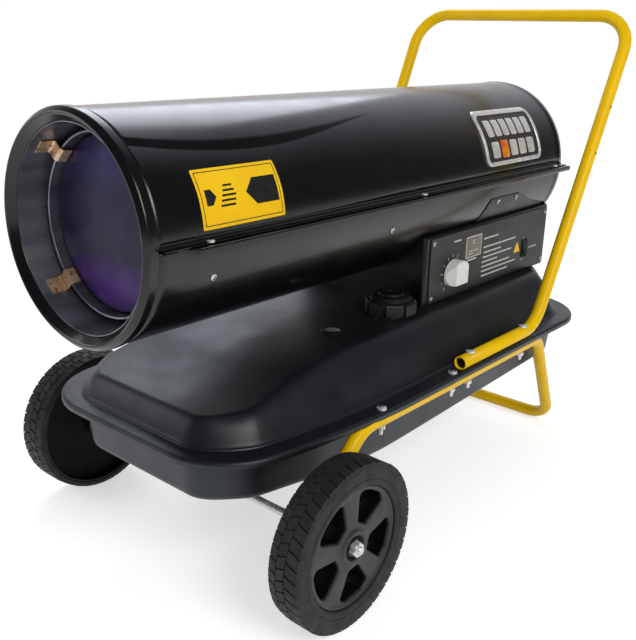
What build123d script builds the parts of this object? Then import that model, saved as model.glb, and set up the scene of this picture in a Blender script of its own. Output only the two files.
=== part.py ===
from build123d import *
import math
import os

# Portable forced air heater on a two-wheeled cart, in millimetres.
# +Z is up, the outlet faces -Y and the control panel faces +X.
# The origin is on the floor, under the middle of the bounding box.

os.makedirs("parts", exist_ok=True)

# ---- driving dimensions ----
LENGTH = 907.0              # outlet lip to the back of the push handle
FRONT_Y = -LENGTH / 2
SHEET = 1.2                 # casing steel
PLATE = 1.5                 # tank and panel steel

BARREL_Z = 438.0            # axis of the barrel above the floor
BARREL_LENGTH = 850.0
SHELL_R = 124.0
LIP_R = 119.8               # front edge of the outlet ring
MOUTH_R = 110.0             # clear outlet
LINER_R = 109.9
CHAMBER_R = 99.0
CHAMBER_FRONT = 40.0        # distances along the barrel are measured behind the lip
CHAMBER_BACK = 385.0
SEAM_FLANGE_X = 134.0       # upper shell's flange
RIM_FLANGE_X = 141.0        # lower shell's wider, rolled flange

SHAFT_R = 4.0
RUNNING_GAP = 0.05          # radial clearance of every turning fit
FAN_R = 111.0
FAN_AT = 532.0
BLADE_PITCH = 28.0          # degrees, against the fan's plane
MOTOR_R = 48.0
MOTOR_FRONT = 560.0
MOTOR_BACK = 650.0
PUMP_R = 42.0
PUMP_BACK = 690.0

FLANGE_TOP = 204.4          # tank's seam flange
FLANGE_X = 198.0
FLANGE_FRONT = 45.0
FLANGE_BACK = 875.0
FLANGE_CORNER = 95.0
FLANGE_BACK_CORNER = 100.0
TANK_X = 172.0              # tank wall where it meets the flange
TANK_FRONT = 68.0
TANK_BACK = 852.0
TANK_CORNER = 68.0
TANK_BACK_CORNER = 78.0
SIDE_SWEEP = 1350.0         # radius on which the flange's sides draw in towards the front
SWEEP_FROM = 360.0
DECK_Z = 272.0              # level deck under the control box
NOSE_RISE = [(100.0, -35.0), (141.0, -32.0), (177.0, -24.0), (213.0, -14.5), (260.0, -6.5),
             (320.0, -2.0), (395.0, 0.0)]   # deck in front of the box, against its level part
WALL_TAPER = 24.0           # degrees
DECK_ROUNDING = 30.0
PAN_Z = 133.0               # underside of the tank under its front
PAN_FLOOR = [(50.0, 135.5), (130.0, 133.0), (186.0, 130.0), (250.0, 124.5), (320.0, 121.2), (370.0, 121.2),
             (450.0, 123.8), (742.0, 134.0), (880.0, 138.5)]   # it falls to a sump in front of the middle
SUMP_AT = 345.0
SUMP_Z = 121.0
SKIRT_DROP = 8.8

TUBE_R = 9.5                # 19 mm frame and handle tube
TUBE_WALL = 1.5
FRAME_X = 187.0
FRAME_Z = FLANGE_TOP - 2 * PLATE - TUBE_R
FOOT_X = 166.0
FOOT_AT = 820.0
HANDLE_X = 188.0
HANDLE_TOP_X = 195.4
HANDLE_START = 470.0
HANDLE_KNEE = 682.0
HANDLE_TOP_Z = 669.0
BOLT_END_Z = 170.5

AXLE_AT = 168.0
AXLE_R = 5.0
WHEEL_R = 100.0
WHEEL_FACE_X = 254.0        # outer side of the tyre
TYRE_WIDTH = 42.0
RIM_R = 72.0
DISH_R = 88.0               # hollow on the wheel's inner side
WEB_X = 225.5               # its floor
POCKET_X = 228.0            # floor of the five windows, which are blind
HUB_INNER_X = WHEEL_FACE_X - TYRE_WIDTH
HUB_OUTER_X = 248.0
GAP = 0.4                   # side play of moving parts

BOX_FRONT = 484.0           # control box under the barrel
BOX_BACK = 845.0
BOX_X = 112.0
BOX_TOP = 372.0
PANEL_FRONT = 496.0
PANEL_BACK = 841.0
PANEL_LOW = 274.0
PANEL_HIGH = 368.0
PANEL_X = BOX_X + PLATE

KNOB_AT = (554.5, 308.0)    # distance behind the lip, height
KNOB_R = 22.5
KNOB_HEIGHT = 17.0
SWITCH_AT = (771.5, 309.0)
WINDOW = (589.0, 631.0, 324.5, 355.5)

CAP_AT = (92.0, 436.0)      # x, distance behind the lip
CAP_R = 37.0
GAUGE_AT = (80.0, 327.0)
GAUGE_R = 15.0
GAUGE_Z = 268.4             # the bezel is seated in a shallow spot face
PICKUP_AT = (0.0, 502.0)

BARREL_AXIS = Axis((0, 0, BARREL_Z), (0, 1, 0))
BARREL_AXIS_BACKWARDS = Axis((0, 0, BARREL_Z), (0, -1, 0))


def aft(distance):
    """Y of a point that lies this far behind the outlet lip."""
    return FRONT_Y + distance


def turned(profile, arc=360, axis=BARREL_AXIS):
    """Solid of (radius, distance aft) points turned about the barrel's axis."""
    points = [(r, aft(d), BARREL_Z) for r, d in profile]
    return revolve(make_face(Polyline(points, close=True)), axis=axis, revolution_arc=arc)


def pipe_wall(r_out, r_in, start, end, arc=360, axis=BARREL_AXIS):
    return turned([(r_in, start), (r_out, start), (r_out, end), (r_in, end)], arc, axis)


def rod(centre, direction, radius, length):
    """Cylinder that starts at a point and runs along a direction."""
    return extrude(Plane(origin=centre, z_dir=direction) * Circle(radius), length)


def ring(centre, direction, r_out, r_in, length):
    face = Circle(r_out) - Circle(r_in)
    return extrude(Plane(origin=centre, z_dir=direction) * face, length)


def block(x, y, z):
    """Box between two limits on each axis."""
    centre = [(low + high) / 2 for low, high in (x, y, z)]
    size = [high - low for low, high in (x, y, z)]
    return Pos(*centre) * Box(*size)


def tube(points, bends, radius, wall=0.0):
    """Bent tube along a path of straight runs and arcs."""
    path = FilletPolyline(*points, radius=bends)
    start = Plane(origin=path @ 0, z_dir=path % 0)
    outer = sweep(start * Circle(radius), path=path)
    if wall:
        outer -= sweep(start * Circle(radius - wall), path=path)
    return outer


def both_sides(solid):
    return [solid, mirror(solid, about=Plane.YZ)]


def joined(pieces):
    whole = pieces[0]
    for piece in pieces[1:]:
        whole += piece
    return whole


def around_barrel(radius, distance, degrees):
    """Point on a circle about the barrel; 0 degrees is +X, 90 is up."""
    a = math.radians(degrees)
    return (radius * math.cos(a), aft(distance), BARREL_Z + radius * math.sin(a))


def outwards(degrees):
    a = math.radians(degrees)
    return (math.cos(a), 0, math.sin(a))


def pan_screw(seat, direction, shank_r, length):
    """Domed cross-head screw: its head stands out of the seat along the direction."""
    head_r = 2.1 * shank_r
    head_h = 1.2 * shank_r
    back = tuple(-v for v in direction)
    head = rod(seat, direction, head_r, head_h)
    head = chamfer(head.faces().sort_by(Axis(seat, direction))[-1].edges(), 0.3 * head_h)
    plane = Plane(origin=seat, z_dir=direction)
    cross = [plane * Pos(0, 0, head_h) * Rot(0, 0, turn) * Box(head_r, 0.4 * shank_r, 0.8 * head_h)
             for turn in (0, 90)]
    return head - joined(cross) + rod(seat, back, shank_r, length)


def hex_prism(centre, direction, across_flats, height):
    face = RegularPolygon(radius=across_flats / 2, side_count=6, major_radius=False)
    return extrude(Plane(origin=centre, z_dir=direction) * face, height)


# ---- barrel ----
SEAM_SCREWS = [(131.0, d) for d in (74.0, 444.0, 815.0)]
LINER_SCREWS = [(d, a) for d in (89.0, 396.0) for a in (-19.0, 199.0)]
STRAP_SCREWS = [(d, a) for d in (661.0, 716.0) for a in (-17.5, 197.5)]
BRACKET_ANGLES = (45.0, 135.0, 225.0, 315.0)


def outlet_ring():
    profile = [(125.3, 14.0), (125.3, 5.5), (123.2, 1.6), (LIP_R, 0.0), (116.5, 1.4),
               (MOUTH_R, 8.2), (MOUTH_R, 13.0), (111.2, 13.0), (111.2, 8.8), (117.0, 2.8),
               (LIP_R, 1.4), (122.4, 2.6), (124.1, 5.9), (124.1, 14.0)]
    return turned(profile)


def crease_band():
    """Arc-shaped dart, seen from above, that is pressed into each side of the upper shell."""
    outer = ThreePointArc((80.0, aft(12)), (95.6, aft(170)), (68.0, aft(400)))
    inner = ThreePointArc((68.0, aft(400)), (86.0, aft(165)), (72.0, aft(12)))
    face = make_face([outer, inner, Line(inner @ 1, outer @ 0)])
    dart = extrude(face, 400, dir=(0, 0, 1))
    return dart & (pipe_wall(SHELL_R + 1, SHELL_R - 0.5, 12, 400))


def upper_shell():
    wall = pipe_wall(SHELL_R, SHELL_R - SHEET, 6, BARREL_LENGTH, 180, BARREL_AXIS_BACKWARDS)
    wall = wall - Pos(0, 0, BARREL_Z) * crease_band() - mirror(Pos(0, 0, BARREL_Z) * crease_band(),
                                                              about=Plane.YZ)
    flange = block((SHELL_R - 0.6, SEAM_FLANGE_X), (aft(16), aft(BARREL_LENGTH)),
                   (BARREL_Z, BARREL_Z + PLATE))
    shell = joined([wall] + both_sides(flange))
    return shell - [rod((side * x, aft(d), BARREL_Z - 9), (0, 0, 1), 2.0, 20)
                    for x, d in SEAM_SCREWS for side in (1, -1)]


def lower_shell():
    wall = pipe_wall(SHELL_R, SHELL_R - SHEET, 6, BARREL_LENGTH, 180)
    rim = [(SHELL_R - 0.6, aft(35)), (RIM_FLANGE_X, aft(52)), (RIM_FLANGE_X, aft(BARREL_LENGTH)),
           (SHELL_R - 0.6, aft(BARREL_LENGTH))]
    flange = extrude(Pos(0, 0, BARREL_Z) * make_face(Polyline(rim, close=True)), -PLATE)
    lip = block((RIM_FLANGE_X - PLATE, RIM_FLANGE_X), (aft(52), aft(BARREL_LENGTH)),
                (BARREL_Z - 7, BARREL_Z - PLATE))
    shell = joined([wall] + both_sides(flange) + both_sides(lip))
    holes = [rod((side * x, aft(d), BARREL_Z - 20), (0, 0, 1), 2.0, 30)
             for x, d in SEAM_SCREWS for side in (1, -1)]
    holes += [rod(around_barrel(115, d, a), outwards(a), 1.8, 15) for d, a in LINER_SCREWS + STRAP_SCREWS]
    holes.append(rod((PICKUP_AT[0], aft(PICKUP_AT[1]), 300), (0, 0, 1), 7.0, 30))
    return shell - holes


def inner_liner():
    liner = pipe_wall(LINER_R, LINER_R - 0.8, 9.0, 400)
    return liner - [rod(around_barrel(105, d, a), outwards(a), 1.8, 8) for d, a in LINER_SCREWS]


def liner_spacers():
    gap_out = pipe_wall(SHELL_R - SHEET, LINER_R, 60, 420)
    spacers = [rod(around_barrel(104, d, a), outwards(a), 7.0, 25) & gap_out
               - rod(around_barrel(104, d, a), outwards(a), 1.8, 25) for d, a in LINER_SCREWS]
    return spacers


def combustion_chamber():
    wall = pipe_wall(CHAMBER_R, CHAMBER_R - 1, CHAMBER_FRONT + 1.2, CHAMBER_BACK)
    bead = turned([(CHAMBER_R - 1.6, CHAMBER_FRONT + 1.6), (CHAMBER_R - 0.5, CHAMBER_FRONT),
                   (CHAMBER_R + 0.6, CHAMBER_FRONT + 1.6), (CHAMBER_R, CHAMBER_FRONT + 3.2),
                   (CHAMBER_R - 1, CHAMBER_FRONT + 3.2)])
    back = pipe_wall(CHAMBER_R - 0.5, 34, CHAMBER_BACK - 1.2, CHAMBER_BACK)
    swirl = [Pos(0, 0, BARREL_Z) * Rot(0, turn, 0)
             * block((52, 84), (aft(CHAMBER_BACK - 5), aft(CHAMBER_BACK + 5)), (-3, 3))
             for turn in range(0, 360, 30)]
    return wall + bead + back - swirl


def front_baffle():
    disc = turned([(0, 47.0), (30, 47.6), (70, 49.8), (94.7, 53.0), (94.7, 60.0), (93.7, 60.0),
                   (93.7, 54.1), (70, 51.0), (30, 48.8), (0, 48.2)])
    inside = rod((0, aft(40), BARREL_Z), (0, 1, 0), CHAMBER_R - 1, 40)
    tabs = [Pos(0, 0, BARREL_Z) * Rot(0, turn, 0) * block((93.9, 100), (aft(55), aft(60)), (-6, 6))
            for turn in (0, 120, 240)]
    return disc + (joined(tabs) & inside)


def burner_brackets():
    """Folded straps between chamber and liner, and spacers between liner and shell."""
    gap = pipe_wall(LINER_R - 0.8, CHAMBER_R, 10, 80)
    brackets = liner_spacers()
    for a in BRACKET_ANGLES:
        upright = block((97, 115), (aft(45), aft(46.5)), (-9, 9))
        foot = block((106.6, 115), (aft(22), aft(46.5)), (-9, 9))
        toe = block((90, 100.5), (aft(45), aft(60)), (-9, 9))
        strap = (upright + foot + toe) & (Pos(0, 0, -BARREL_Z) * gap)
        brackets.append(Pos(0, 0, BARREL_Z) * Rot(0, -a, 0) * strap)
    return Compound(brackets)


# ---- burner ----
ELECTRODES = [(x, BARREL_Z + 14) for x in (-13.0, 13.0)]


def burner_head():
    cup = turned([(44, 385), (44, 386.5), (33, 386.5), (33, 400), (12, 404), (12, 402.5),
                  (31.5, 398.8), (31.5, 385)])
    vents = [rod(around_barrel(22, 395, a), (0, 1, 0), 3.5, 15) for a in (0, 90, 180, 225, 270, 315)]
    return cup - vents - [rod((x, aft(392), z), (0, 1, 0), 3.5, 20) for x, z in ELECTRODES]


def fuel_nozzle():
    tip = turned([(0, 385), (2, 385), (6, 392), (6, 398), (0, 398)])
    return tip + hex_prism((0, aft(398), BARREL_Z), (0, 1, 0), 15, 8)


def nozzle_adapter():
    body = rod((0, aft(406), BARREL_Z), (0, 1, 0), 10, 34)
    collar = pipe_wall(12, 8, 402.5, 406.5) - hex_prism((0, aft(400), BARREL_Z), (0, 1, 0), 15, 10)
    arms = pipe_wall(33, 31.5, 400.4, 408)
    spokes = [Pos(0, 0, BARREL_Z) * Rot(0, turn, 0) * block((9, 32), (aft(406.5), aft(408)), (-4, 4))
              for turn in (30, 150, 270)]
    return joined([body, collar, arms] + spokes)


def electrodes():
    return Compound([rod((x, aft(376), z), (0, 1, 0), 1.2, 20) + rod((x, aft(392), z), (0, 1, 0), 3.5, 26)
                     for x, z in ELECTRODES])


def photocell():
    x, y, z = around_barrel(50, CHAMBER_BACK, 250)
    return rod((x, y, z), (0, 1, 0), 5, 14) + rod((x, y + 14, z), (0, 1, 0), 3, 8)


def fuel_line():
    x, y = PICKUP_AT[0], aft(PICKUP_AT[1])
    end_z = BARREL_Z - 4
    points = [(x, y, DECK_Z + 32), (x, y, end_z - 26), (x, aft(470), end_z), (x, aft(440), end_z)]
    return tube(points, [18, 14], 3.0, 1.0)


def air_line():
    """Copper line from the pump, along the casing and up to the nozzle adapter."""
    points = [(0, 672, -PUMP_R), (0, 672, -116.5), (60, 640, -98), (60, 478, -98), (0, 425, -26), (0, 425, -10)]
    return tube([(x, aft(d), BARREL_Z + z) for x, d, z in points], [12, 18, 18, 8], 2.5)


# ---- fan, motor and pump ----
def fan():
    hub = rod((0, aft(FAN_AT - 13), BARREL_Z), (0, 1, 0), 21, 26)
    tip = FAN_R - 4
    outline = [(15, -17), (60, -31), (100, -30), (tip, -12), (tip, 20), (90, 31), (50, 24), (15, 15)]
    blade = Rot(90 - BLADE_PITCH, 0, 0) * extrude(make_face(Polyline(outline, close=True)), 0.75, both=True)
    blades = [Pos(0, aft(FAN_AT), BARREL_Z) * Rot(0, turn, 0) * blade for turn in range(0, 360, 72)]
    return joined([hub] + blades) - rod((0, aft(FAN_AT - 20), BARREL_Z), (0, 1, 0), SHAFT_R, 40)


def motor_shaft():
    return rod((0, aft(FAN_AT - 22), BARREL_Z), (0, 1, 0), SHAFT_R, PUMP_BACK - FAN_AT + 16)


def motor_rotor():
    core = rod((0, aft(MOTOR_FRONT + 20), BARREL_Z), (0, 1, 0), 31.0, 50)
    return core - rod((0, aft(MOTOR_FRONT), BARREL_Z), (0, 1, 0), SHAFT_R, 90)


def motor_body():
    outside = turned([(0, MOTOR_FRONT), (22, MOTOR_FRONT), (26, MOTOR_FRONT + 6), (MOTOR_R, MOTOR_FRONT + 12),
                      (MOTOR_R, MOTOR_BACK - 8), (MOTOR_R - 4, MOTOR_BACK), (0, MOTOR_BACK)])
    cavity = rod((0, aft(MOTOR_FRONT + 15), BARREL_Z), (0, 1, 0), 31.5, 60)
    bore = rod((0, aft(MOTOR_FRONT - 5), BARREL_Z), (0, 1, 0), SHAFT_R + RUNNING_GAP, 110)
    return outside - cavity - bore


def motor_mount():
    """Clamp band with three arms to the casing."""
    band = pipe_wall(MOTOR_R + 2, MOTOR_R, 590, 618)
    arms = []
    for turn in (90, 210, 330):
        arm = block((MOTOR_R + 1, 121.4), (aft(592), aft(616)), (-1.5, 1.5))
        foot = block((119, 130), (aft(592), aft(616)), (-14, 14))
        arms.append(Pos(0, 0, BARREL_Z) * Rot(0, turn, 0) * (arm + foot))
    inside = rod((0, aft(580), BARREL_Z), (0, 1, 0), SHELL_R - SHEET, 50)
    return band + (joined(arms) & inside)


def pump_housing():
    ring_wall = rod((0, aft(MOTOR_BACK), BARREL_Z), (0, 1, 0), PUMP_R, PUMP_BACK - MOTOR_BACK)
    cavity = rod((0, aft(MOTOR_BACK + 8), BARREL_Z + 2), (0, 1, 0), 30, 40)
    bore = rod((0, aft(MOTOR_BACK - 5), BARREL_Z), (0, 1, 0), SHAFT_R + RUNNING_GAP, 20)
    return ring_wall - cavity - bore


def pump_rotor():
    """Slotted drum on the shaft, with its four carbon vanes."""
    start, end = aft(MOTOR_BACK + 9), aft(MOTOR_BACK + 39)
    core = rod((0, start, BARREL_Z), (0, 1, 0), 24, end - start)
    core -= rod((0, start - 5, BARREL_Z), (0, 1, 0), SHAFT_R, 50)
    vanes = []
    for turn in (0, 90, 180, 270):
        place = Pos(0, 0, BARREL_Z) * Rot(0, turn, 0)
        core -= place * block((12, 30), (start - 1, end + 1), (-1.5, 1.5))
        vanes.append(place * block((12, 27.2), (start, end), (-1.5, 1.5)))
    return Compound([core] + vanes)


def pump_end_cover():
    cover = rod((0, aft(PUMP_BACK), BARREL_Z), (0, 1, 0), PUMP_R, 10)
    return cover - rod((0, aft(PUMP_BACK + 4), BARREL_Z), (0, 1, 0), 33, 10)


def air_filter():
    return rod((0, aft(PUMP_BACK + 4), BARREL_Z), (0, 1, 0), 33, 6)


def filter_cover():
    cup = turned([(0, PUMP_BACK + 10), (40, PUMP_BACK + 10), (40, PUMP_BACK + 15), (35, PUMP_BACK + 19),
                  (0, PUMP_BACK + 19)])
    knob = hex_prism((0, aft(PUMP_BACK + 19), BARREL_Z), (0, 1, 0), 12, 6)
    vents = [Pos(0, 0, BARREL_Z) * Rot(0, turn, 0)
             * block((14, 30), (aft(PUMP_BACK + 9), aft(PUMP_BACK + 21)), (-1.5, 1.5))
             for turn in range(0, 360, 30)]
    return cup + knob - vents


def rear_guard():
    """Welded wire guard in the back of the barrel."""
    at = BARREL_LENGTH - 5
    wire = 1.6
    hoops = [pipe_wall(r + wire, r - wire, at - wire, at + wire) for r in (22, 40, 58, 76, 94, 110)]
    rim = pipe_wall(SHELL_R - SHEET, SHELL_R - SHEET - 3, at - 8, at + 5)
    spokes = [rod(around_barrel(21, at - 2 * wire + 0.4, a), outwards(a), wire, 99.5) for a in range(0, 360, 45)]
    return joined([rim] + hoops + spokes)


# ---- control box ----
def control_box():
    outside = block((-BOX_X, BOX_X), (aft(BOX_FRONT), aft(BOX_BACK)), (DECK_Z, BOX_TOP))
    inside = block((-BOX_X + SHEET, BOX_X - SHEET), (aft(BOX_FRONT) + SHEET, aft(BOX_BACK) - SHEET),
                   (DECK_Z + SHEET, BOX_TOP - SHEET))
    windows = block((-BOX_X - 5, BOX_X + 5), (aft(PANEL_FRONT + 8), aft(PANEL_BACK - 8)),
                    (PANEL_LOW + 8, PANEL_HIGH - 8))
    barrel = rod((0, aft(BOX_FRONT - 5), BARREL_Z), (0, 1, 0), SHELL_R, BOX_BACK - BOX_FRONT + 10)
    box = outside - inside - windows - barrel
    holes = [rod((-130, aft(d), z), (1, 0, 0), 1.5, 260) for d, z in PANEL_SCREWS]
    holes.append(rod((60, aft(BOX_BACK - 5), 300), (0, 1, 0), 8, 10))
    holes.append(rod((PICKUP_AT[0], aft(PICKUP_AT[1]), DECK_Z - 5), (0, 0, 1), 9.5, 12))
    return box - holes


PANEL_SCREWS = [(d, z) for d in (503.0, 834.0) for z in (281.0, 361.0)]


def panel_blank():
    face = Pos(aft((PANEL_FRONT + PANEL_BACK) / 2), (PANEL_LOW + PANEL_HIGH) / 2) \
        * RectangleRounded(PANEL_BACK - PANEL_FRONT, PANEL_HIGH - PANEL_LOW, 3)
    plate = extrude(Plane.YZ.offset(BOX_X) * face, PLATE)
    return plate - [rod((BOX_X - 2, aft(d), z), (1, 0, 0), 1.5, 6) for d, z in PANEL_SCREWS]


def control_panel():
    window = block((BOX_X - 2, PANEL_X + 2), (aft(WINDOW[0]), aft(WINDOW[1])), (WINDOW[2], WINDOW[3]))
    d, z = SWITCH_AT
    switch = block((BOX_X - 2, PANEL_X + 2), (aft(d) - 6.5, aft(d) + 6.5), (z - 13, z + 13))
    shaft = rod((BOX_X - 2, aft(KNOB_AT[0]), KNOB_AT[1]), (1, 0, 0), 5, 6)
    return panel_blank() - window - switch - shaft


def left_cover():
    louvres = [block((BOX_X - 2, PANEL_X + 2), (aft(d), aft(d) + 44), (z, z + 3))
               for d in (560.0, 640.0, 720.0) for z in (300.0, 310.0, 320.0, 330.0, 340.0)]
    return mirror(panel_blank() - louvres, about=Plane.YZ)


def display_window():
    return block((BOX_X, PANEL_X + 0.5), (aft(WINDOW[0]), aft(WINDOW[1])), (WINDOW[2], WINDOW[3]))


def control_board():
    board = block((96, 97.6), (aft(600), aft(720)), (286, 352))
    display = block((97.6, 108), (aft(595), aft(626)), (328, 350))
    relay = block((78, 96), (aft(670), aft(700)), (300, 330))
    chip = block((92, 96), (aft(620), aft(645)), (296, 316))
    standoffs = [rod((97.6, aft(d), z), (1, 0, 0), 3, BOX_X - 97.6) for d in (638.0, 714.0) for z in (292.0, 346.0)]
    return Compound([board + display + relay + chip] + standoffs)


def thermostat():
    d, z = KNOB_AT
    body = rod((92, aft(d), z), (1, 0, 0), 12, 16)
    bush = rod((108, aft(d), z), (1, 0, 0), 5, PANEL_X - 108)
    return body + bush - rod((95, aft(d), z), (1, 0, 0), 3 + RUNNING_GAP, 30)


def thermostat_knob():
    """Round knob with a sloping finger flat on each side, on its shaft."""
    y, z = aft(KNOB_AT[0]), KNOB_AT[1]
    low, high = PANEL_X + 1, PANEL_X + 1 + KNOB_HEIGHT
    knob = rod((low, y, z), (1, 0, 0), KNOB_R, KNOB_HEIGHT)
    knob = chamfer(knob.faces().sort_by(Axis.X)[-1].edges(), 1.6)
    for side in (1, -1):
        flat = [(low + 2.5, KNOB_R), (high + 1, KNOB_R - 7.5), (high + 1, KNOB_R + 5), (low + 2.5, KNOB_R + 5)]
        face = make_face(Polyline([(x, y + side * dy, z - 12) for x, dy in flat], close=True))
        knob -= extrude(face, 40, dir=(0, 0, 1))
    shaft = rod((98, y, z), (1, 0, 0), 3, 28)
    return Compound([knob - shaft, shaft])


ROCKER_PIVOT = (PANEL_X - 3, aft(SWITCH_AT[0]), SWITCH_AT[1])


def power_switch():
    x, y, z = ROCKER_PIVOT
    bezel = block((PANEL_X, PANEL_X + 2), (y - 8, y + 8), (z - 14.5, z + 14.5))
    body = block((90, PANEL_X), (y - 6.5, y + 6.5), (z - 13, z + 13))
    well = block((101, PANEL_X + 5), (y - 5.2, y + 5.2), (z - 11.8, z + 11.8))
    return bezel + body - well + rod((x, y - 5.5, z), (0, 1, 0), 1.0, 11)


def switch_rocker():
    """Rocker with its lower end standing out; it turns on a pin in the switch body."""
    x, y, z = ROCKER_PIVOT
    outline = [(-3, -9), (8, -9.2), (5.2, 0), (4.2, 10.6), (-3, 9)]
    face = make_face(Polyline([(x + dx, y - 4.8, z + dz) for dx, dz in outline], close=True))
    return extrude(face, 9.6, dir=(0, 1, 0)) - rod((x, y - 6, z), (0, 1, 0), 1.0 + RUNNING_GAP, 12)


def ignition_transformer():
    case = block((-70, -10), (aft(700), aft(780)), (DECK_Z + SHEET, DECK_Z + SHEET + 38))
    posts = [rod((x, aft(700), DECK_Z + 28), (0, -1, 0), 5, 10) for x in (-55, -25)]
    return joined([case] + posts)


def saddle_straps():
    """Curved tabs that tie the control box to the barrel, one on each side."""
    wall = pipe_wall(SHELL_R + SHEET, SHELL_R, 615, 840)
    outline = [(620, BOX_TOP), (638, 407), (722, 407), (742, 401), (772, 389), (822, 378), (834, BOX_TOP)]
    strap = wall & extrude(Plane.YZ * make_face(Polyline([(aft(d), z) for d, z in outline], close=True)), 140)
    return Compound([piece - [rod(around_barrel(115, d, a), outwards(a), 1.8, 15) for d, a in STRAP_SCREWS]
                     for piece in both_sides(strap)])


def cable_gland():
    seat = (60, aft(BOX_BACK), 300)
    body = ring(seat, (0, 1, 0), 11, 4, 6) + ring((60, aft(BOX_BACK + 6), 300), (0, 1, 0), 8.5, 4, 12)
    return body + ring((60, aft(BOX_BACK - 8), 300), (0, 1, 0), 8, 4, 8)


# ---- tank ----
def tank_plan(z, side, front, back, corner, back_corner):
    """Outline of a tank stamping at height z: round corners, sides that draw in towards the front."""
    sweep = SIDE_SWEEP - (FLANGE_X - side)
    sweep_x = side - sweep
    hub_at = front + corner
    hub_x = sweep_x + math.sqrt((sweep - corner) ** 2 - (SWEEP_FROM - hub_at) ** 2)
    lean = math.atan2(hub_at - SWEEP_FROM, hub_x - sweep_x)
    middle = (lean - math.pi / 2) / 2
    diagonal = back_corner * math.sqrt(0.5)

    def at(x, distance):
        return (x, aft(distance), z)

    def on_corner(angle):
        return at(hub_x + corner * math.cos(angle), hub_at + corner * math.sin(angle))

    half = [Line(at(0, front), at(hub_x, front)),
            ThreePointArc(at(hub_x, front), on_corner(middle), on_corner(lean)),
            ThreePointArc(on_corner(lean),
                          at(sweep_x + sweep * math.cos(lean / 2), SWEEP_FROM + sweep * math.sin(lean / 2)),
                          at(side, SWEEP_FROM)),
            Line(at(side, SWEEP_FROM), at(side, back - back_corner)),
            ThreePointArc(at(side, back - back_corner),
                          at(side - back_corner + diagonal, back - back_corner + diagonal), at(side - back_corner, back)),
            Line(at(side - back_corner, back), at(0, back))]
    return make_face(half + [edge.mirror(Plane.YZ) for edge in half])


def wall_plan(z, inset):
    return tank_plan(z, TANK_X - inset, TANK_FRONT + inset, TANK_BACK - inset, TANK_CORNER - inset,
                     TANK_BACK_CORNER - inset)


def tank_form(inset, low, high):
    """Body of the upper tank stamping: tapered walls and a deck that drops to the front."""
    body = extrude(wall_plan(low, inset), high - low, taper=WALL_TAPER, dir=(0, 0, 1))
    ramp = Spline([(-300, aft(d), high + z) for d, z in NOSE_RISE], tangents=[(0, 1, 0), (0, 1, 0)])
    over = [(-300, aft(NOSE_RISE[-1][0]), high + 50), (-300, aft(0), high + 50), (-300, aft(0), ramp.start_point().Z)]
    above = make_face([ramp, Polyline([ramp.end_point()] + over + [ramp.start_point()])])
    return body - extrude(above, 600, dir=(1, 0, 0))


def rounded_deck(solid, radius):
    """Round the rim of the deck, all the way round."""
    deck = [face for face in solid.faces() if face.normal_at(face.center()).Z > 0.75]
    edges = ShapeList([edge for face in deck for edge in face.edges()])
    rim = [edge for edge in edges if sum(edge.is_same(other) for other in edges) == 1]
    return fillet(rim, radius)


def seam_flange(z_low, inset):
    return tank_plan(z_low, FLANGE_X - inset, FLANGE_FRONT + inset, FLANGE_BACK - inset, FLANGE_CORNER - inset,
                     FLANGE_BACK_CORNER - inset)


BOLT_HOLES = [(FRAME_X, 295.0), (FRAME_X, 454.0), (HANDLE_X, 495.0), (HANDLE_X, 644.5)]


def bolt_shafts(radius):
    return [rod((side * x, aft(d), 165), (0, 0, 1), radius, 70) for x, d in BOLT_HOLES for side in (1, -1)]


def tank_top():
    outside = rounded_deck(tank_form(0, FLANGE_TOP - PLATE, DECK_Z), DECK_ROUNDING)
    inside = rounded_deck(tank_form(PLATE, FLANGE_TOP - PLATE - 1, DECK_Z - PLATE), DECK_ROUNDING - PLATE)
    flange = extrude(seam_flange(FLANGE_TOP - PLATE, 0), PLATE, dir=(0, 0, 1))
    skirt = extrude(seam_flange(FLANGE_TOP - SKIRT_DROP, 0), SKIRT_DROP, dir=(0, 0, 1)) \
        - extrude(seam_flange(FLANGE_TOP - SKIRT_DROP, PLATE), SKIRT_DROP, dir=(0, 0, 1))
    skirt -= [rod((side * FRAME_X, aft(200), FRAME_Z), (0, 1, 0), TUBE_R + 0.3, 130) for side in (1, -1)]
    top = outside + flange + skirt - inside
    holes = bolt_shafts(3.0)
    holes.append(rod((CAP_AT[0], aft(CAP_AT[1]), 240), (0, 0, 1), 24.0, 60))
    holes += [gauge_disc(12.0, 240, 300), gauge_disc(GAUGE_R, GAUGE_Z + 1.2, 300)]
    holes.append(rod((PICKUP_AT[0], aft(PICKUP_AT[1]), 240), (0, 0, 1), 5.0, 60))
    return top - holes


def tank_pan():
    rim = FLANGE_TOP - PLATE

    def pan_solid(inset):
        body = extrude(wall_plan(rim, inset), rim - SUMP_Z + 10, taper=7, dir=(0, 0, -1))
        floor = Spline([(-300, aft(d), z + inset) for d, z in PAN_FLOOR])
        ends = [(-300, aft(d), SUMP_Z - 40) for d in (PAN_FLOOR[-1][0], PAN_FLOOR[0][0])]
        below = make_face([floor, Polyline([floor.end_point()] + ends + [floor.start_point()])])
        body -= extrude(below, 600, dir=(1, 0, 0))
        low = ShapeList([face for face in body.faces() if face.normal_at(face.center()).Z < -0.9])
        return fillet(low.edges(), 12 - inset)
    flange = extrude(seam_flange(rim - PLATE, PLATE), PLATE, dir=(0, 0, 1))
    pan = flange + pan_solid(0) - pan_solid(PLATE)
    return pan - bolt_shafts(3.0) - rod((0, aft(SUMP_AT), SUMP_Z - 5), (0, 0, 1), 7, 12)


def filler_neck():
    x, y = CAP_AT[0], aft(CAP_AT[1])
    neck = ring((x, y, DECK_Z - 14), (0, 0, 1), 24.0, 22.0, 32)
    return neck + ring((x, y, DECK_Z), (0, 0, 1), 27.5, 22.0, 1.5)


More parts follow.
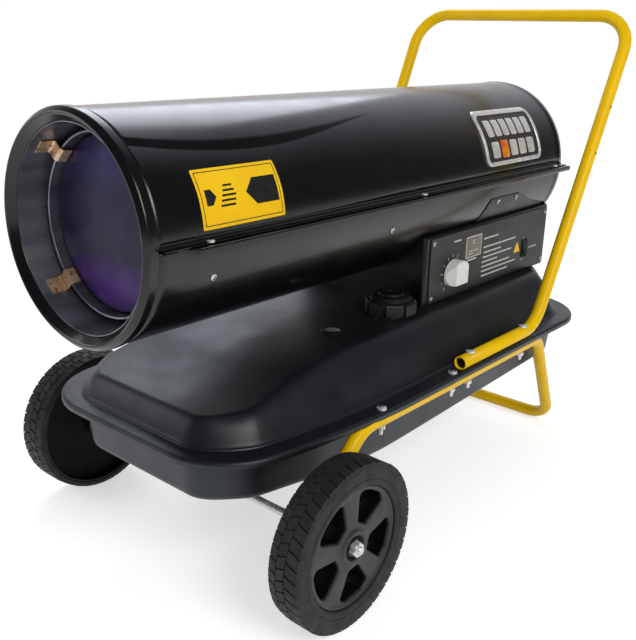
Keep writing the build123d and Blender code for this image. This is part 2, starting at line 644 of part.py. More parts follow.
def fuel_cap():
    """Eight-sided grip over a plain inner wall, with a raised disc on top."""
    x, y = CAP_AT[0], aft(CAP_AT[1])
    low = DECK_Z + 2.5
    skirt = extrude(Pos(x, y, low) * RegularPolygon(radius=CAP_R, side_count=8, rotation=22.5), 18.5)
    for k in range(8):
        a = math.radians(22.5 + 45 * k)
        skirt -= rod((x + (CAP_R + 1.6) * math.cos(a), y + (CAP_R + 1.6) * math.sin(a), low - 1), (0, 0, 1), 4, 30)
    top = revolve(make_face(Polyline([(x, y, low + 18.5), (x + 32, y, low + 18.5), (x + 27, y, low + 24),
                                      (x + 18, y, low + 25), (x + 17, y, low + 28), (x, y, low + 28)],
                                     close=True)), axis=Axis((x, y, 0), (0, 0, 1)))
    well = rod((x, y, low - 1), (0, 0, 1), 28.0, 17.5)
    return skirt + top - well


def gauge_disc(radius, low, high):
    return rod((GAUGE_AT[0], aft(GAUGE_AT[1]), low), (0, 0, 1), radius, high - low)


def fuel_gauge():
    body = gauge_disc(12.0, GAUGE_Z - 10, GAUGE_Z + 3) + gauge_disc(GAUGE_R, GAUGE_Z + 1.2, GAUGE_Z + 3)
    body -= gauge_disc(10.5, GAUGE_Z - 0.6, GAUGE_Z + 4)
    guides = [rod((GAUGE_AT[0] + x, aft(GAUGE_AT[1]), PAN_Z + 8), (0, 0, 1), 1.2, GAUGE_Z - 10 - PAN_Z - 8)
              for x in (-8.5, 8.5)]
    plate = gauge_disc(11.0, PAN_Z + 6, PAN_Z + 8)
    bore = gauge_disc(1.0 + RUNNING_GAP, PAN_Z, GAUGE_Z + 5)
    return joined([body, plate] + guides) - bore


def gauge_lens():
    return gauge_disc(10.5, GAUGE_Z + 1.4, GAUGE_Z + 2.6)


def gauge_needle():
    y = aft(GAUGE_AT[1])
    x = GAUGE_AT[0]
    spindle = gauge_disc(1.0, PAN_Z + 6.5, GAUGE_Z + 0.5)
    hand = block((x - 1, x + 1), (y - 8.5, y + 3), (GAUGE_Z + 0.2, GAUGE_Z + 0.9))
    return spindle + hand


def gauge_float():
    """Float at the foot of its guides, as in an empty tank."""
    x, y = GAUGE_AT[0], aft(GAUGE_AT[1])
    low = PAN_Z + 8.3
    drum = gauge_disc(17.0, low, low + 18) - gauge_disc(2.0, PAN_Z, GAUGE_Z)
    return drum - [rod((x + side * 8.5, y, PAN_Z), (0, 0, 1), 1.8, 150) for side in (1, -1)]


def pickup_tube():
    x, y = PICKUP_AT[0], aft(PICKUP_AT[1])
    dip = ring((x, y, PAN_Z + 22), (0, 0, 1), 3.0, 2.0, DECK_Z + 16 - PAN_Z - 22)
    flange = ring((x, y, DECK_Z), (0, 0, 1), 9.0, 3.0, 6)
    nut = hex_prism((x, y, DECK_Z + 6), (0, 0, 1), 12, 8) - rod((x, y, DECK_Z), (0, 0, 1), 3, 20)
    collar = ring((x, y, DECK_Z - 8), (0, 0, 1), 5.0, 3.0, 8)
    strainer = rod((x, y, PAN_Z + 6), (0, 0, 1), 8, 16)
    return Compound([joined([dip, flange, nut, collar]), strainer])


def fuel_filter():
    x, y = PICKUP_AT[0], aft(PICKUP_AT[1])
    low = DECK_Z + 16
    return ring((x, y, low), (0, 0, 1), 6.5, 2.0, 16)


def drain_plug():
    head = hex_prism((0, aft(SUMP_AT), SUMP_Z - 6), (0, 0, 1), 17, 6)
    return head + rod((0, aft(SUMP_AT), SUMP_Z), (0, 0, 1), 7, 6)


# ---- cart ----
def frame_tube():
    """One bent tube: axle, up under the flange, down to the rear foot, and the same on the other side."""
    right = [(FRAME_X, aft(AXLE_AT), WHEEL_R), (FRAME_X, aft(256), FRAME_Z), (FRAME_X, aft(698), FRAME_Z),
             (FOOT_X, aft(FOOT_AT), TUBE_R)]
    left = [(-x, y, z) for x, y, z in reversed(right)]
    frame = tube(right + left, [50, 42, 42, 42, 42, 50], TUBE_R, TUBE_WALL)
    lugs = [rod((side * FRAME_X - 20, aft(AXLE_AT), WHEEL_R), (1, 0, 0), 9.0, 40) for side in (1, -1)]
    return frame - lugs - bolt_shafts(3.0)


def axle():
    bar = rod((-WHEEL_FACE_X - 7, aft(AXLE_AT), WHEEL_R), (1, 0, 0), AXLE_R, 2 * WHEEL_FACE_X + 14)
    return chamfer(bar.edges().filter_by(GeomType.CIRCLE), 0.8)


def axle_fittings():
    """Frame sleeves, spacers, washers and nuts on the axle."""
    def at(x):
        return (x, aft(AXLE_AT), WHEEL_R)
    sleeve = ring(at(FRAME_X - 12), (1, 0, 0), 9.0, AXLE_R, 24)
    spacer = ring(at(FRAME_X + 12), (1, 0, 0), 8.0, AXLE_R, HUB_INNER_X - GAP - FRAME_X - 12)
    washer = ring(at(HUB_OUTER_X + GAP), (1, 0, 0), 10.5, AXLE_R, PLATE)
    nut = hex_prism(at(HUB_OUTER_X + GAP + PLATE), (1, 0, 0), 16, 8) - rod(at(240), (1, 0, 0), AXLE_R, 30)
    return Compound(both_sides(sleeve) + both_sides(spacer) + both_sides(washer) + both_sides(nut))


def handle_path():
    right = [(HANDLE_X, aft(HANDLE_START), FLANGE_TOP + TUBE_R), (HANDLE_X, aft(HANDLE_KNEE), FLANGE_TOP + TUBE_R),
             (HANDLE_TOP_X, LENGTH / 2 - TUBE_R, HANDLE_TOP_Z)]
    return right + [(-x, y, z) for x, y, z in reversed(right)]


def handle_tube():
    handle = tube(handle_path(), [50, 55, 55, 50], TUBE_R, TUBE_WALL)
    hook_holes = [rod((150, aft(d), z), (1, 0, 0), 2.2, 80) for d, z in ((802.3, 468.0), (834.5, 536.0))]
    return handle - bolt_shafts(3.0) - hook_holes


def handle_plugs():
    plug = rod((HANDLE_X, aft(HANDLE_START) + 4, FLANGE_TOP + TUBE_R), (0, 1, 0), TUBE_R - TUBE_WALL, 10)
    return Compound(both_sides(plug))


def cart_bolts():
    """Cross-head bolts through flange and frame; the rear pair on each side also hold the handle."""
    pieces = []
    for x, d in BOLT_HOLES:
        seat = FLANGE_TOP if x == FRAME_X else FLANGE_TOP + 2 * TUBE_R
        pieces += both_sides(pan_screw((x, aft(d), seat), (0, 0, 1), 3.0, seat - BOLT_END_Z))
        nut = hex_prism((x, aft(d), FRAME_Z - TUBE_R - 5), (0, 0, 1), 10, 5) \
            - rod((x, aft(d), 165), (0, 0, 1), 3.0, 40)
        pieces += both_sides(nut)
    return Compound(pieces)


def casing_screws():
    """Seam screws with their nuts, radial screws, and the screws of both side panels."""
    pieces = []
    for x, d in SEAM_SCREWS:
        nut = hex_prism((x, aft(d), BARREL_Z - PLATE - 3), (0, 0, 1), 7, 3) \
            - rod((x, aft(d), BARREL_Z - 20), (0, 0, 1), 2.0, 40)
        pieces += both_sides(pan_screw((x, aft(d), BARREL_Z + PLATE), (0, 0, 1), 2.0, 8)) + both_sides(nut)
    for d, a in LINER_SCREWS:
        pieces.append(pan_screw(around_barrel(SHELL_R, d, a), outwards(a), 1.8, 15))
    for d, a in STRAP_SCREWS:
        pieces.append(pan_screw(around_barrel(SHELL_R + SHEET, d, a), outwards(a), 1.8, 4))
    for d, z in PANEL_SCREWS:
        pieces += both_sides(pan_screw((PANEL_X, aft(d), z), (1, 0, 0), 1.5, 6))
    return Compound(pieces)


def wheel_rim(side):
    """Moulded wheel, turned about the axle's line: five blind windows outside, dished inside."""
    inner_x = HUB_INNER_X
    face_x = WHEEL_FACE_X - 4.5
    profile = [(AXLE_R + RUNNING_GAP, inner_x), (20, inner_x), (20, WEB_X), (DISH_R, WEB_X), (DISH_R, inner_x + 1),
               (DISH_R + 2, inner_x + 1), (DISH_R + 2, WEB_X + 2.5), (RIM_R, WEB_X + 6.5),
               (RIM_R, WHEEL_FACE_X - 3), (RIM_R - 3, WHEEL_FACE_X - 3), (RIM_R - 5, face_x), (24, face_x),
               (20, WHEEL_FACE_X - 2), (15, WHEEL_FACE_X - 2), (14, HUB_OUTER_X), (AXLE_R + RUNNING_GAP, HUB_OUTER_X)]
    points = [(x, aft(AXLE_AT) + r, WHEEL_R) for r, x in profile]
    wheel = revolve(make_face(Polyline(points, close=True)), axis=Axis((0, aft(AXLE_AT), WHEEL_R), (1, 0, 0)))
    outline = make_face(Polyline([(28, -8.5), (58, -25), (66, -14), (66, 14), (58, 25), (28, 8.5)], close=True))
    outline = fillet(outline.vertices(), 5)
    cutter = extrude(Plane.YZ.offset(POCKET_X) * outline, 50)
    for k in range(5):
        wheel -= Pos(0, aft(AXLE_AT), WHEEL_R) * Rot(58.5 + 72 * k, 0, 0) * cutter
    return wheel if side > 0 else mirror(wheel, about=Plane.YZ)


def tyre(side):
    inner_x = WHEEL_FACE_X - TYRE_WIDTH
    profile = [(DISH_R + 2, inner_x + 1), (92, inner_x), (96, inner_x + 0.5), (WHEEL_R, inner_x + 4),
               (WHEEL_R, WHEEL_FACE_X - 4), (96, WHEEL_FACE_X - 0.5), (80, WHEEL_FACE_X), (RIM_R, WHEEL_FACE_X - 3),
               (RIM_R, WEB_X + 6.5), (DISH_R + 2, WEB_X + 2.5)]
    points = [(x, aft(AXLE_AT) + r, WHEEL_R) for r, x in profile]
    band = revolve(make_face(Polyline(points, close=True)), axis=Axis((0, aft(AXLE_AT), WHEEL_R), (1, 0, 0)))
    return band if side > 0 else mirror(band, about=Plane.YZ)


def badge():
    """Plain nameplate that follows the shell."""
    wall = pipe_wall(SHELL_R + 3, SHELL_R, 610, 780)
    return wall & extrude(Plane.YZ * Pos(aft(695), 493.5) * RectangleRounded(164, 75, 13), 200)


NODES = {
    "outlet_ring": outlet_ring, "upper_shell": upper_shell, "lower_shell": lower_shell,
    "inner_liner": inner_liner, "combustion_chamber": combustion_chamber, "front_baffle": front_baffle,
    "burner_brackets": burner_brackets, "burner_head": burner_head, "fuel_nozzle": fuel_nozzle,
    "nozzle_adapter": nozzle_adapter, "electrodes": electrodes, "photocell": photocell,
    "fuel_line": fuel_line, "air_line": air_line, "fan": fan, "motor_shaft": motor_shaft,
    "motor_rotor": motor_rotor, "motor_body": motor_body, "motor_mount": motor_mount,
    "pump_housing": pump_housing, "pump_rotor": pump_rotor, "pump_end_cover": pump_end_cover,
    "air_filter": air_filter, "filter_cover": filter_cover, "rear_guard": rear_guard,
    "control_box": control_box, "control_panel": control_panel, "left_cover": left_cover,
    "display_window": display_window, "control_board": control_board, "thermostat": thermostat,
    "thermostat_knob": thermostat_knob, "power_switch": power_switch, "switch_rocker": switch_rocker,
    "ignition_transformer": ignition_transformer, "saddle_straps": saddle_straps,
    "cable_gland": cable_gland, "tank_top": tank_top, "tank_pan": tank_pan, "filler_neck": filler_neck,
    "fuel_cap": fuel_cap, "fuel_gauge": fuel_gauge, "gauge_lens": gauge_lens,
    "gauge_needle": gauge_needle, "gauge_float": gauge_float, "pickup_tube": pickup_tube,
    "fuel_filter": fuel_filter, "drain_plug": drain_plug, "frame_tube": frame_tube, "axle": axle,
    "axle_fittings": axle_fittings, "handle_tube": handle_tube, "handle_plugs": handle_plugs,
    "cart_bolts": cart_bolts, "casing_screws": casing_screws, "badge": badge,
    "rim_right": lambda: wheel_rim(1), "rim_left": lambda: wheel_rim(-1),
    "tyre_right": lambda: tyre(1), "tyre_left": lambda: tyre(-1),
}


if __name__ == "__main__":
    for node, make in NODES.items():
        export_step(make(), f"parts/{node}.step")
        print("wrote", node)
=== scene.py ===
import math
import bpy
import bmesh
from mathutils import Matrix, Vector


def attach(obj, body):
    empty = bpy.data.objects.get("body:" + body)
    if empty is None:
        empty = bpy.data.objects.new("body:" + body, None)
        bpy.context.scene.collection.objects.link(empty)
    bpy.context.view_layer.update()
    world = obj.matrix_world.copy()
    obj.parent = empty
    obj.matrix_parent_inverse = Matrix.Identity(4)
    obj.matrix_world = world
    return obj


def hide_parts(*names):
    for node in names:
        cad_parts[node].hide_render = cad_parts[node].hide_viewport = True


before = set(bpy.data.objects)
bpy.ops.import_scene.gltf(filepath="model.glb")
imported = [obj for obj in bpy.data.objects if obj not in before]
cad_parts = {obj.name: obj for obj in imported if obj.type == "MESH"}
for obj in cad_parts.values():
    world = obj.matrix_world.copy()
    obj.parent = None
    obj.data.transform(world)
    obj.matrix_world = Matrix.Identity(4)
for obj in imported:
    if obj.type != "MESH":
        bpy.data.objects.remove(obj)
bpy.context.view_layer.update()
scene = bpy.context.scene
scene.view_settings.view_transform = "Standard"
print("heater frame loaded")

# Sizes are in mm. A place along the heater is given by how far it lies behind the outlet's lip.
lipY = -453.5
barrelZ = 438.0
shellRadius = 124.0
barrelBack = 850.0


def spot(across, behind, up):
    return Vector((across, lipY + behind, up))


def aroundBarrel(radius, behind, degrees):     # 0 is the right side, 90 the top
    angle = math.radians(degrees)
    return spot(radius * math.cos(angle), behind, barrelZ + radius * math.sin(angle))


def outward(degrees):
    return aroundBarrel(1, 0, degrees) - aroundBarrel(0, 0, degrees)


def alongKnots(knots, value):     # smooth curve through (place, size) pairs
    if value <= knots[0][0]:
        return knots[0][1]
    if value >= knots[-1][0]:
        return knots[-1][1]
    k = next(i for i in range(len(knots) - 1) if knots[i + 1][0] >= value)
    before, after = knots[max(k - 1, 0)], knots[min(k + 2, len(knots) - 1)]
    (x0, y0), (x1, y1) = knots[k], knots[k + 1]
    step = x1 - x0
    rise0 = (y1 - before[1]) / (x1 - before[0]) * step
    rise1 = (after[1] - y0) / (after[0] - x0) * step
    t = (value - x0) / step
    return ((2 * t ** 3 - 3 * t ** 2 + 1) * y0 + (t ** 3 - 2 * t ** 2 + t) * rise0
            + (3 * t ** 2 - 2 * t ** 3) * y1 + (t ** 3 - t ** 2) * rise1)


# Finishes, each named for what the real surface is, and for the painted shade or sheen that some of them carry.
# Colours are sRGB hex.
def linear(code):     # '#rrggbb' as a linear colour
    parts = [int(code[i:i + 2], 16) / 255 for i in (1, 3, 5)]
    return tuple(p / 12.92 if p <= 0.04045 else ((p + 0.055) / 1.055) ** 2.4 for p in parts) + (1.0,)


def addNode(tree, kind, settings=None, links=None):
    node = tree.nodes.new(kind)
    for name, value in (settings or {}).items():
        if isinstance(name, int) or name[0].isupper():
            node.inputs[name].default_value = value
        else:
            setattr(node, name, value)
    for name, source in (links or {}).items():
        tree.links.new(source, node.inputs[name])
    return node


def addNoise(tree, place, size, detail=3.0):     # size of the pattern in mm
    return addNode(tree, "ShaderNodeTexNoise", {"Scale": 1000 / size, "Detail": detail},
                   {"Vector": place}).outputs["Fac"]


def spread(tree, value, low, high, fromLow=0.32, fromHigh=0.68):
    limits = {"From Min": fromLow, "From Max": fromHigh, "To Min": low, "To Max": high}
    return addNode(tree, "ShaderNodeMapRange", limits, {"Value": value}).outputs["Result"]


def blendColours(tree, first, second, amount):
    mix = addNode(tree, "ShaderNodeMix", {"data_type": "RGBA"}, {0: amount})
    for index, colour in ((6, first), (7, second)):
        if isinstance(colour, str):
            mix.inputs[index].default_value = linear(colour)
        else:
            tree.links.new(colour, mix.inputs[index])
    return mix.outputs[2]


def reliefNormal(tree, place, relief):     # (size, depth) pairs in mm
    normal = None
    for size, depth in relief:
        links = {"Height": addNoise(tree, place, size)}
        if normal:
            links["Normal"] = normal
        normal = addNode(tree, "ShaderNodeBump", {"Distance": depth / 1000}, links).outputs["Normal"]
    return normal


def newMaterial(name):
    material = bpy.data.materials.new(name)
    material.use_nodes = True
    tree = material.node_tree
    return material, tree, addNode(tree, "ShaderNodeTexCoord").outputs["Object"]


def setShader(tree, links, sockets):
    shader = tree.nodes["Principled BSDF"]
    for name, source in links.items():
        if source:
            tree.links.new(source, shader.inputs[name])
    for name, value in sockets.items():
        shader.inputs[name].default_value = value


def makeFinish(name, look):
    material, tree, place = newMaterial(name)
    if "drawn" in look:     # rolled sheet: the pattern is drawn out along one way
        place = addNode(tree, "ShaderNodeMapping", {"Scale": look["drawn"]}, {"Vector": place}).outputs["Vector"]
    patches = addNoise(tree, place, look["patch"])
    colour = blendColours(tree, *look["colours"], spread(tree, patches, 0.0, 1.0))
    if "specks" in look:
        speckColour, size, share = look["specks"]
        grains = spread(tree, addNoise(tree, place, size, 1.0), 0.0, 1.0, 1 - share - 0.06, 1 - share)
        colour = blendColours(tree, colour, speckColour, grains)
    rough = spread(tree, addNoise(tree, place, look["patch"] * 0.6), *look["rough"])
    normal = reliefNormal(tree, place, look.get("relief", ()))
    setShader(tree, {"Base Color": colour, "Roughness": rough, "Normal": normal}, look.get("sockets", {}))
    return material


# Two colours that blend over patches of a size in mm, the limits of roughness, relief as (size, depth) in mm, and
# specks as (colour, size in mm, share). A pixel covers about 1.6 mm. Grain that is finer in the real finish keeps
# its size for close views, and where two sizes of relief stand the first is drawn as coarse as it needs to show.
looks = {
    # stoved enamel on rolled sheet: deep black that mirrors in soft streaks; its peel is 0.5 mm
    "bakedEnamel": {"colours": ("#08080a", "#0c0c0e"), "patch": 60, "rough": (0.20, 0.27),
                    "relief": ((2.2, 0.004), (0.5, 0.0012)),
                    "sockets": {"Specular IOR Level": 0.42, "Coat Weight": 0.12, "Coat Roughness": 0.1}},
    # thinner enamel on folded sheet: black with a dull, even shine; its grain is 0.3 mm
    "boxEnamel": {"colours": ("#0a0a0b", "#0f0f11"), "patch": 50, "rough": (0.34, 0.42),
                  "relief": ((0.9, 0.006), (0.3, 0.002)), "sockets": {"Specular IOR Level": 0.35}},
    # printed foil on the panel: charcoal, flat, almost no shine
    "panelFoil": {"colours": ("#1b1b1a", "#212120"), "patch": 40, "rough": (0.42, 0.5), "relief": ((0.6, 0.004),)},
    # half-gloss enamel on a deep pressing: blue-black with broad soft lights; its peel is 0.4 mm
    "tankEnamel": {"colours": ("#101217", "#171a1f"), "patch": 70, "rough": (0.38, 0.48),
                   "relief": ((1.6, 0.006), (0.4, 0.0025)), "specks": ("#2b2f36", 1.1, 0.03),
                   "sockets": {"Specular Tint": (0.85, 0.92, 1.0, 1.0)}},
    # powder coat on bent tube: strong yellow under a soft shine; its peel is 0.4 mm
    "yellowPowder": {"colours": ("#fccf00", "#f8c700"), "patch": 35, "rough": (0.26, 0.36),
                     "relief": ((1.2, 0.006), (0.4, 0.002)),
                     "sockets": {"Specular IOR Level": 0.16, "Coat Weight": 0.05, "Coat Roughness": 0.12}},
    # bright zinc on screws: light grey points of light, drawn half metal on a pale base colour as a painted sheen so
    # that they stay light
    "zincWithPaintedSheen": {"colours": ("#cdd0d2", "#e8e9ea"), "patch": 6, "rough": (0.22, 0.38), "relief": ((1.0, 0.004),),
                  "sockets": {"Metallic": 0.5}},
    # moulded solid rubber: dull dark grey with dusty grains
    "tyreRubber": {"colours": ("#131415", "#1e2021"), "patch": 18, "rough": (0.62, 0.8),
                   "relief": ((3.0, 0.03), (0.6, 0.02)), "specks": ("#2c2e30", 2.0, 0.05)},
    # moulded polypropylene: charcoal with a low satin shine
    "wheelPlastic": {"colours": ("#222322", "#292a28"), "patch": 30, "rough": (0.44, 0.56),
                     "relief": ((0.8, 0.008),)},
    # white ABS: clean, a little light from inside
    "whiteAbs": {"colours": ("#e6e6e3", "#eeeeec"), "patch": 25, "rough": (0.3, 0.38), "relief": ((0.8, 0.002),),
                 "sockets": {"Subsurface Weight": 0.08, "Subsurface Radius": (0.004, 0.004, 0.003)}},
    # black ABS with a 0.5 mm moulded grain: black, only its edges catch light
    "blackAbs": {"colours": ("#0b0c0d", "#111213"), "patch": 22, "rough": (0.42, 0.54), "relief": ((0.5, 0.008),),
                 "sockets": {"Specular IOR Level": 0.35}},
    # rolled stainless: violet grey streaks along the barrel with scattered brown blotches
    "linerSteel": {"colours": ("#6d6c75", "#a09fab"), "patch": 34, "rough": (0.26, 0.4), "drawn": (1.0, 0.25, 1.0),
                   "relief": ((3.0, 0.012), (0.5, 0.003)), "specks": ("#96785c", 20.0, 0.14),
                   "sockets": {"Metallic": 0.7}},
    # strip steel coloured by heat: straw and copper blotches
    "bronzedSteel": {"colours": ("#c79a72", "#e6cfb0"), "patch": 9, "rough": (0.26, 0.38),
                     "relief": ((1.4, 0.008),), "specks": ("#93502f", 6.0, 0.3), "sockets": {"Metallic": 0.55}},
    # plated casting: light silver with soft reflections, drawn half metal on a pale base colour as a painted sheen so
    # that it stays light
    "chromeWithPaintedSheen": {"colours": ("#cfd0d2", "#e6e6e6"), "patch": 20, "rough": (0.22, 0.32),
                   "relief": ((2.5, 0.004),), "sockets": {"Metallic": 0.4}},
    # rough cast field: dark with light flecks of 2 mm
    "plateField": {"colours": ("#191919", "#4a4947"), "patch": 2.2, "rough": (0.3, 0.5), "relief": ((1.0, 0.03),),
                   "sockets": {"Metallic": 0.4}},
    # enamel drop under a clear coat: orange to amber
    "amberStud": {"colours": ("#d8541a", "#f0a21c"), "patch": 12, "rough": (0.15, 0.25),
                  "sockets": {"Coat Weight": 0.6}},
    # vinyl film: flat strong yellow
    "decalYellow": {"colours": ("#fbcc05", "#f6c404"), "patch": 40, "rough": (0.4, 0.48),
                    "relief": ((1.0, 0.002),), "sockets": {"Specular IOR Level": 0.3}},
    # screen printing ink: flat black, and slightly patchy grey-white
    "printBlack": {"colours": ("#101010", "#161616"), "patch": 20, "rough": (0.4, 0.5)},
    "printWhite": {"colours": ("#bdbdb9", "#d4d4d0"), "patch": 5, "rough": (0.45, 0.55)},
    # bare metals: warm yellow brass, red-brown copper, pale grainy casting, clear grey ground steel
    "brassBar": {"colours": ("#b28b45", "#c6a159"), "patch": 8, "rough": (0.22, 0.36), "sockets": {"Metallic": 1.0}},
    "copperLine": {"colours": ("#a4613f", "#bd7a53"), "patch": 14, "rough": (0.28, 0.42),
                   "sockets": {"Metallic": 1.0}},
    "castAluminium": {"colours": ("#8f9194", "#a9abad"), "patch": 7, "rough": (0.42, 0.58),
                      "relief": ((1.2, 0.03),), "sockets": {"Metallic": 0.9}},
    "groundSteel": {"colours": ("#8d8f92", "#a5a7aa"), "patch": 10, "rough": (0.18, 0.28),
                    "sockets": {"Metallic": 1.0}},
    # moulded fan nylon: even mid grey
    "greyNylon": {"colours": ("#4b4c4e", "#56575a"), "patch": 16, "rough": (0.45, 0.55), "relief": ((0.7, 0.01),)},
    # glazed insulator: ivory with a clear shine
    "glazedCeramic": {"colours": ("#dcd8cf", "#e9e6de"), "patch": 12, "rough": (0.16, 0.26)},
    # open foam: dark, no shine, cells of 1.5 mm
    "filterFoam": {"colours": ("#202022", "#303033"), "patch": 1.6, "rough": (0.85, 0.95), "relief": ((1.4, 0.5),)},
    # solder resist on a board: bottle green
    "boardGreen": {"colours": ("#0f4a26", "#155a2f"), "patch": 5, "rough": (0.3, 0.42)},
    # inside of the wheel moulding, rough, the same plastic with its colour taken down to near black as painted shade
    # for the deep recess
    "recessPaintedShade": {"colours": ("#040404", "#070707"), "patch": 20, "rough": (0.6, 0.7),
                      "sockets": {"Specular IOR Level": 0.15}},
    # smoked acrylic: warm grey
    "smokedWindow": {"colours": ("#6d655f", "#7d756e"), "patch": 12, "rough": (0.18, 0.28)},
    # printed dial under the gauge's lens: violet grey with marks of 2 mm
    "gaugeFace": {"colours": ("#857f8e", "#b4afbd"), "patch": 2.4, "rough": (0.35, 0.5)},
}
finish = {name: makeFinish(name, look) for name, look in looks.items()}

# Stainless disc coloured by heat: blue at the top, violet below, with a bright violet band at the very bottom painted
# as a reflection. Radii are in metres.
heatTintAndReflection = {"stops": ((0.0, "#9a63c9"), (0.10, "#5a3a8c"), (0.3, "#25203f"), (0.68, "#1e1c40"), (0.9, "#161c62"),
                      (1.0, "#0f1238")),
            "rim": "#2b2450", "rimFrom": 0.080, "rimTo": 0.0947, "wave": 70, "perMetre": 9.0,
            "relief": ((9.0, 0.02), (0.6, 0.004))}


def makeHeatTintAndReflection():
    material, tree, place = newMaterial("heatTintAndReflection")
    centred = addNode(tree, "ShaderNodeMapping", {"Location": (0, 0, -barrelZ / 1000), "Scale": (1, 0, 1)},
                      {"Vector": place}).outputs["Vector"]
    up = addNode(tree, "ShaderNodeSeparateXYZ", links={"Vector": centred}).outputs["Z"]
    height = addNode(tree, "ShaderNodeMath", {"operation": "MULTIPLY_ADD", 1: heatTintAndReflection["perMetre"]},
                     {0: up, 2: addNoise(tree, place, heatTintAndReflection["wave"])}).outputs[0]
    # the ramp's lowest, brightest stops are the painted reflection along the bottom of the disc
    ramp = addNode(tree, "ShaderNodeValToRGB", links={"Fac": spread(tree, height, 0.0, 1.0, -0.45, 1.45)})
    colours = ramp.color_ramp.elements
    colours.remove(colours[1])
    colours[0].color = linear(heatTintAndReflection["stops"][0][1])
    for position, code in heatTintAndReflection["stops"][1:]:
        colours.new(position).color = linear(code)
    radius = addNode(tree, "ShaderNodeVectorMath", {"operation": "LENGTH"}, {0: centred}).outputs["Value"]
    rim = spread(tree, radius, 0.0, 1.0, heatTintAndReflection["rimFrom"], heatTintAndReflection["rimTo"])
    setShader(tree, {"Base Color": blendColours(tree, ramp.outputs["Color"], heatTintAndReflection["rim"], rim),
                     "Roughness": spread(tree, addNoise(tree, place, 25), 0.32, 0.44),
                     "Normal": reliefNormal(tree, place, heatTintAndReflection["relief"])},
              {"Metallic": 0.2, "Specular IOR Level": 0.3})
    return material


def makeLens():     # clear acrylic cover: the dial shows through a slight haze
    material, tree, place = newMaterial("clearLens")
    setShader(tree, {"Base Color": blendColours(tree, "#e8ecee", "#f4f6f7", addNoise(tree, place, 8)),
                     "Roughness": spread(tree, addNoise(tree, place, 4), 0.04, 0.1)},
              {"Transmission Weight": 1.0, "IOR": 1.49})
    return material


finish["heatTintAndReflection"] = makeHeatTintAndReflection()
finish["clearLens"] = makeLens()
print("finishes ready:", len(finish))


# Helpers that shape a piece in mm. finishPiece turns it to metres.
def vertsOf(geometry):
    return [v for v in geometry if isinstance(v, bmesh.types.BMVert)]


def edgesOf(geometry):
    return [e for e in geometry if isinstance(e, bmesh.types.BMEdge)]


def addLine(shape, points, closed=False):
    corners = [shape.verts.new(p) for p in points]
    ends = corners[1:] + corners[:1] if closed else corners[1:]
    edges = [shape.edges.new(pair) for pair in zip(corners, ends)]
    return corners, edges


def roundCorners(points, radii, steps=5, closed=False):     # straight runs with rounded corners
    points = [Vector(p) for p in points]
    if not isinstance(radii, (list, tuple)):
        radii = [radii] * len(points)
    path = []
    for k, corner in enumerate(points):
        if radii[k] == 0 or (not closed and k in (0, len(points) - 1)):
            path.append(corner)
            continue
        back, ahead = points[k - 1] - corner, points[(k + 1) % len(points)] - corner
        bend = math.pi - back.angle(ahead)
        cut = min(radii[k] * math.tan(bend / 2), 0.495 * back.length, 0.495 * ahead.length)
        start, end = corner + back.normalized() * cut, corner + ahead.normalized() * cut
        centre = corner + (back.normalized() + ahead.normalized()).normalized() * cut / math.sin(bend / 2)
        for step in range(steps + 1):
            t = step / steps
            path.append(centre + ((start - centre) * math.sin((1 - t) * bend)
                                  + (end - centre) * math.sin(t * bend)) / math.sin(bend))
    return path


def turn(shape, profile, centre, axis, side, steps=72, closed=False):     # lathe profile of (radius, along)
    centre, axis, side = Vector(centre), Vector(axis), Vector(side)
    corners, edges = addLine(shape, [centre + side * r + axis * a for r, a in profile], closed)
    bmesh.ops.spin(shape, geom=corners + edges, cent=centre, axis=axis, dvec=(0, 0, 0), angle=2 * math.pi,
                   steps=steps, use_merge=True, use_duplicate=False)


def turnOnBarrel(shape, profile, steps=144, closed=False):     # (radius, behind)
    turn(shape, profile, (0, lipY, barrelZ), (0, 1, 0), (1, 0, 0), steps, closed)


def turnUpright(shape, profile, centre, steps):     # (radius, up)
    turn(shape, profile, centre, (0, 0, 1), (1, 0, 0), steps)


def nextLoop(shape, loop, places):     # extrude a line or loop of corners to its next places
    edges = [shape.edges.get((loop[k], loop[(k + 1) % len(loop)])) for k in range(len(loop))]
    made = bmesh.ops.extrude_edge_only(shape, edges=[e for e in edges if e])["geom"]
    order = {corner: k for k, corner in enumerate(loop)}
    fresh = [None] * len(loop)
    for corner in vertsOf(made):
        for edge in corner.link_edges:
            if edge.other_vert(corner) in order:
                fresh[order[edge.other_vert(corner)]] = corner
    for corner, place in zip(fresh, places):
        corner.co = place
    return fresh


def loft(shape, loops, capStart=False, capEnd=False, closed=True):
    loop = addLine(shape, loops[0], closed)[0]
    if capStart:
        shape.faces.new(loop)
    for places in loops[1:]:
        loop = nextLoop(shape, loop, places)
    if capEnd:
        shape.faces.new(loop)


def sweepLine(shape, points, way):     # a line of edges extruded one way
    edges = addLine(shape, points)[1]
    made = bmesh.ops.extrude_edge_only(shape, edges=edges)["geom"]
    bmesh.ops.translate(shape, verts=vertsOf(made), vec=way)


def addFace(shape, points):
    return shape.faces.new(addLine(shape, points, closed=True)[0])


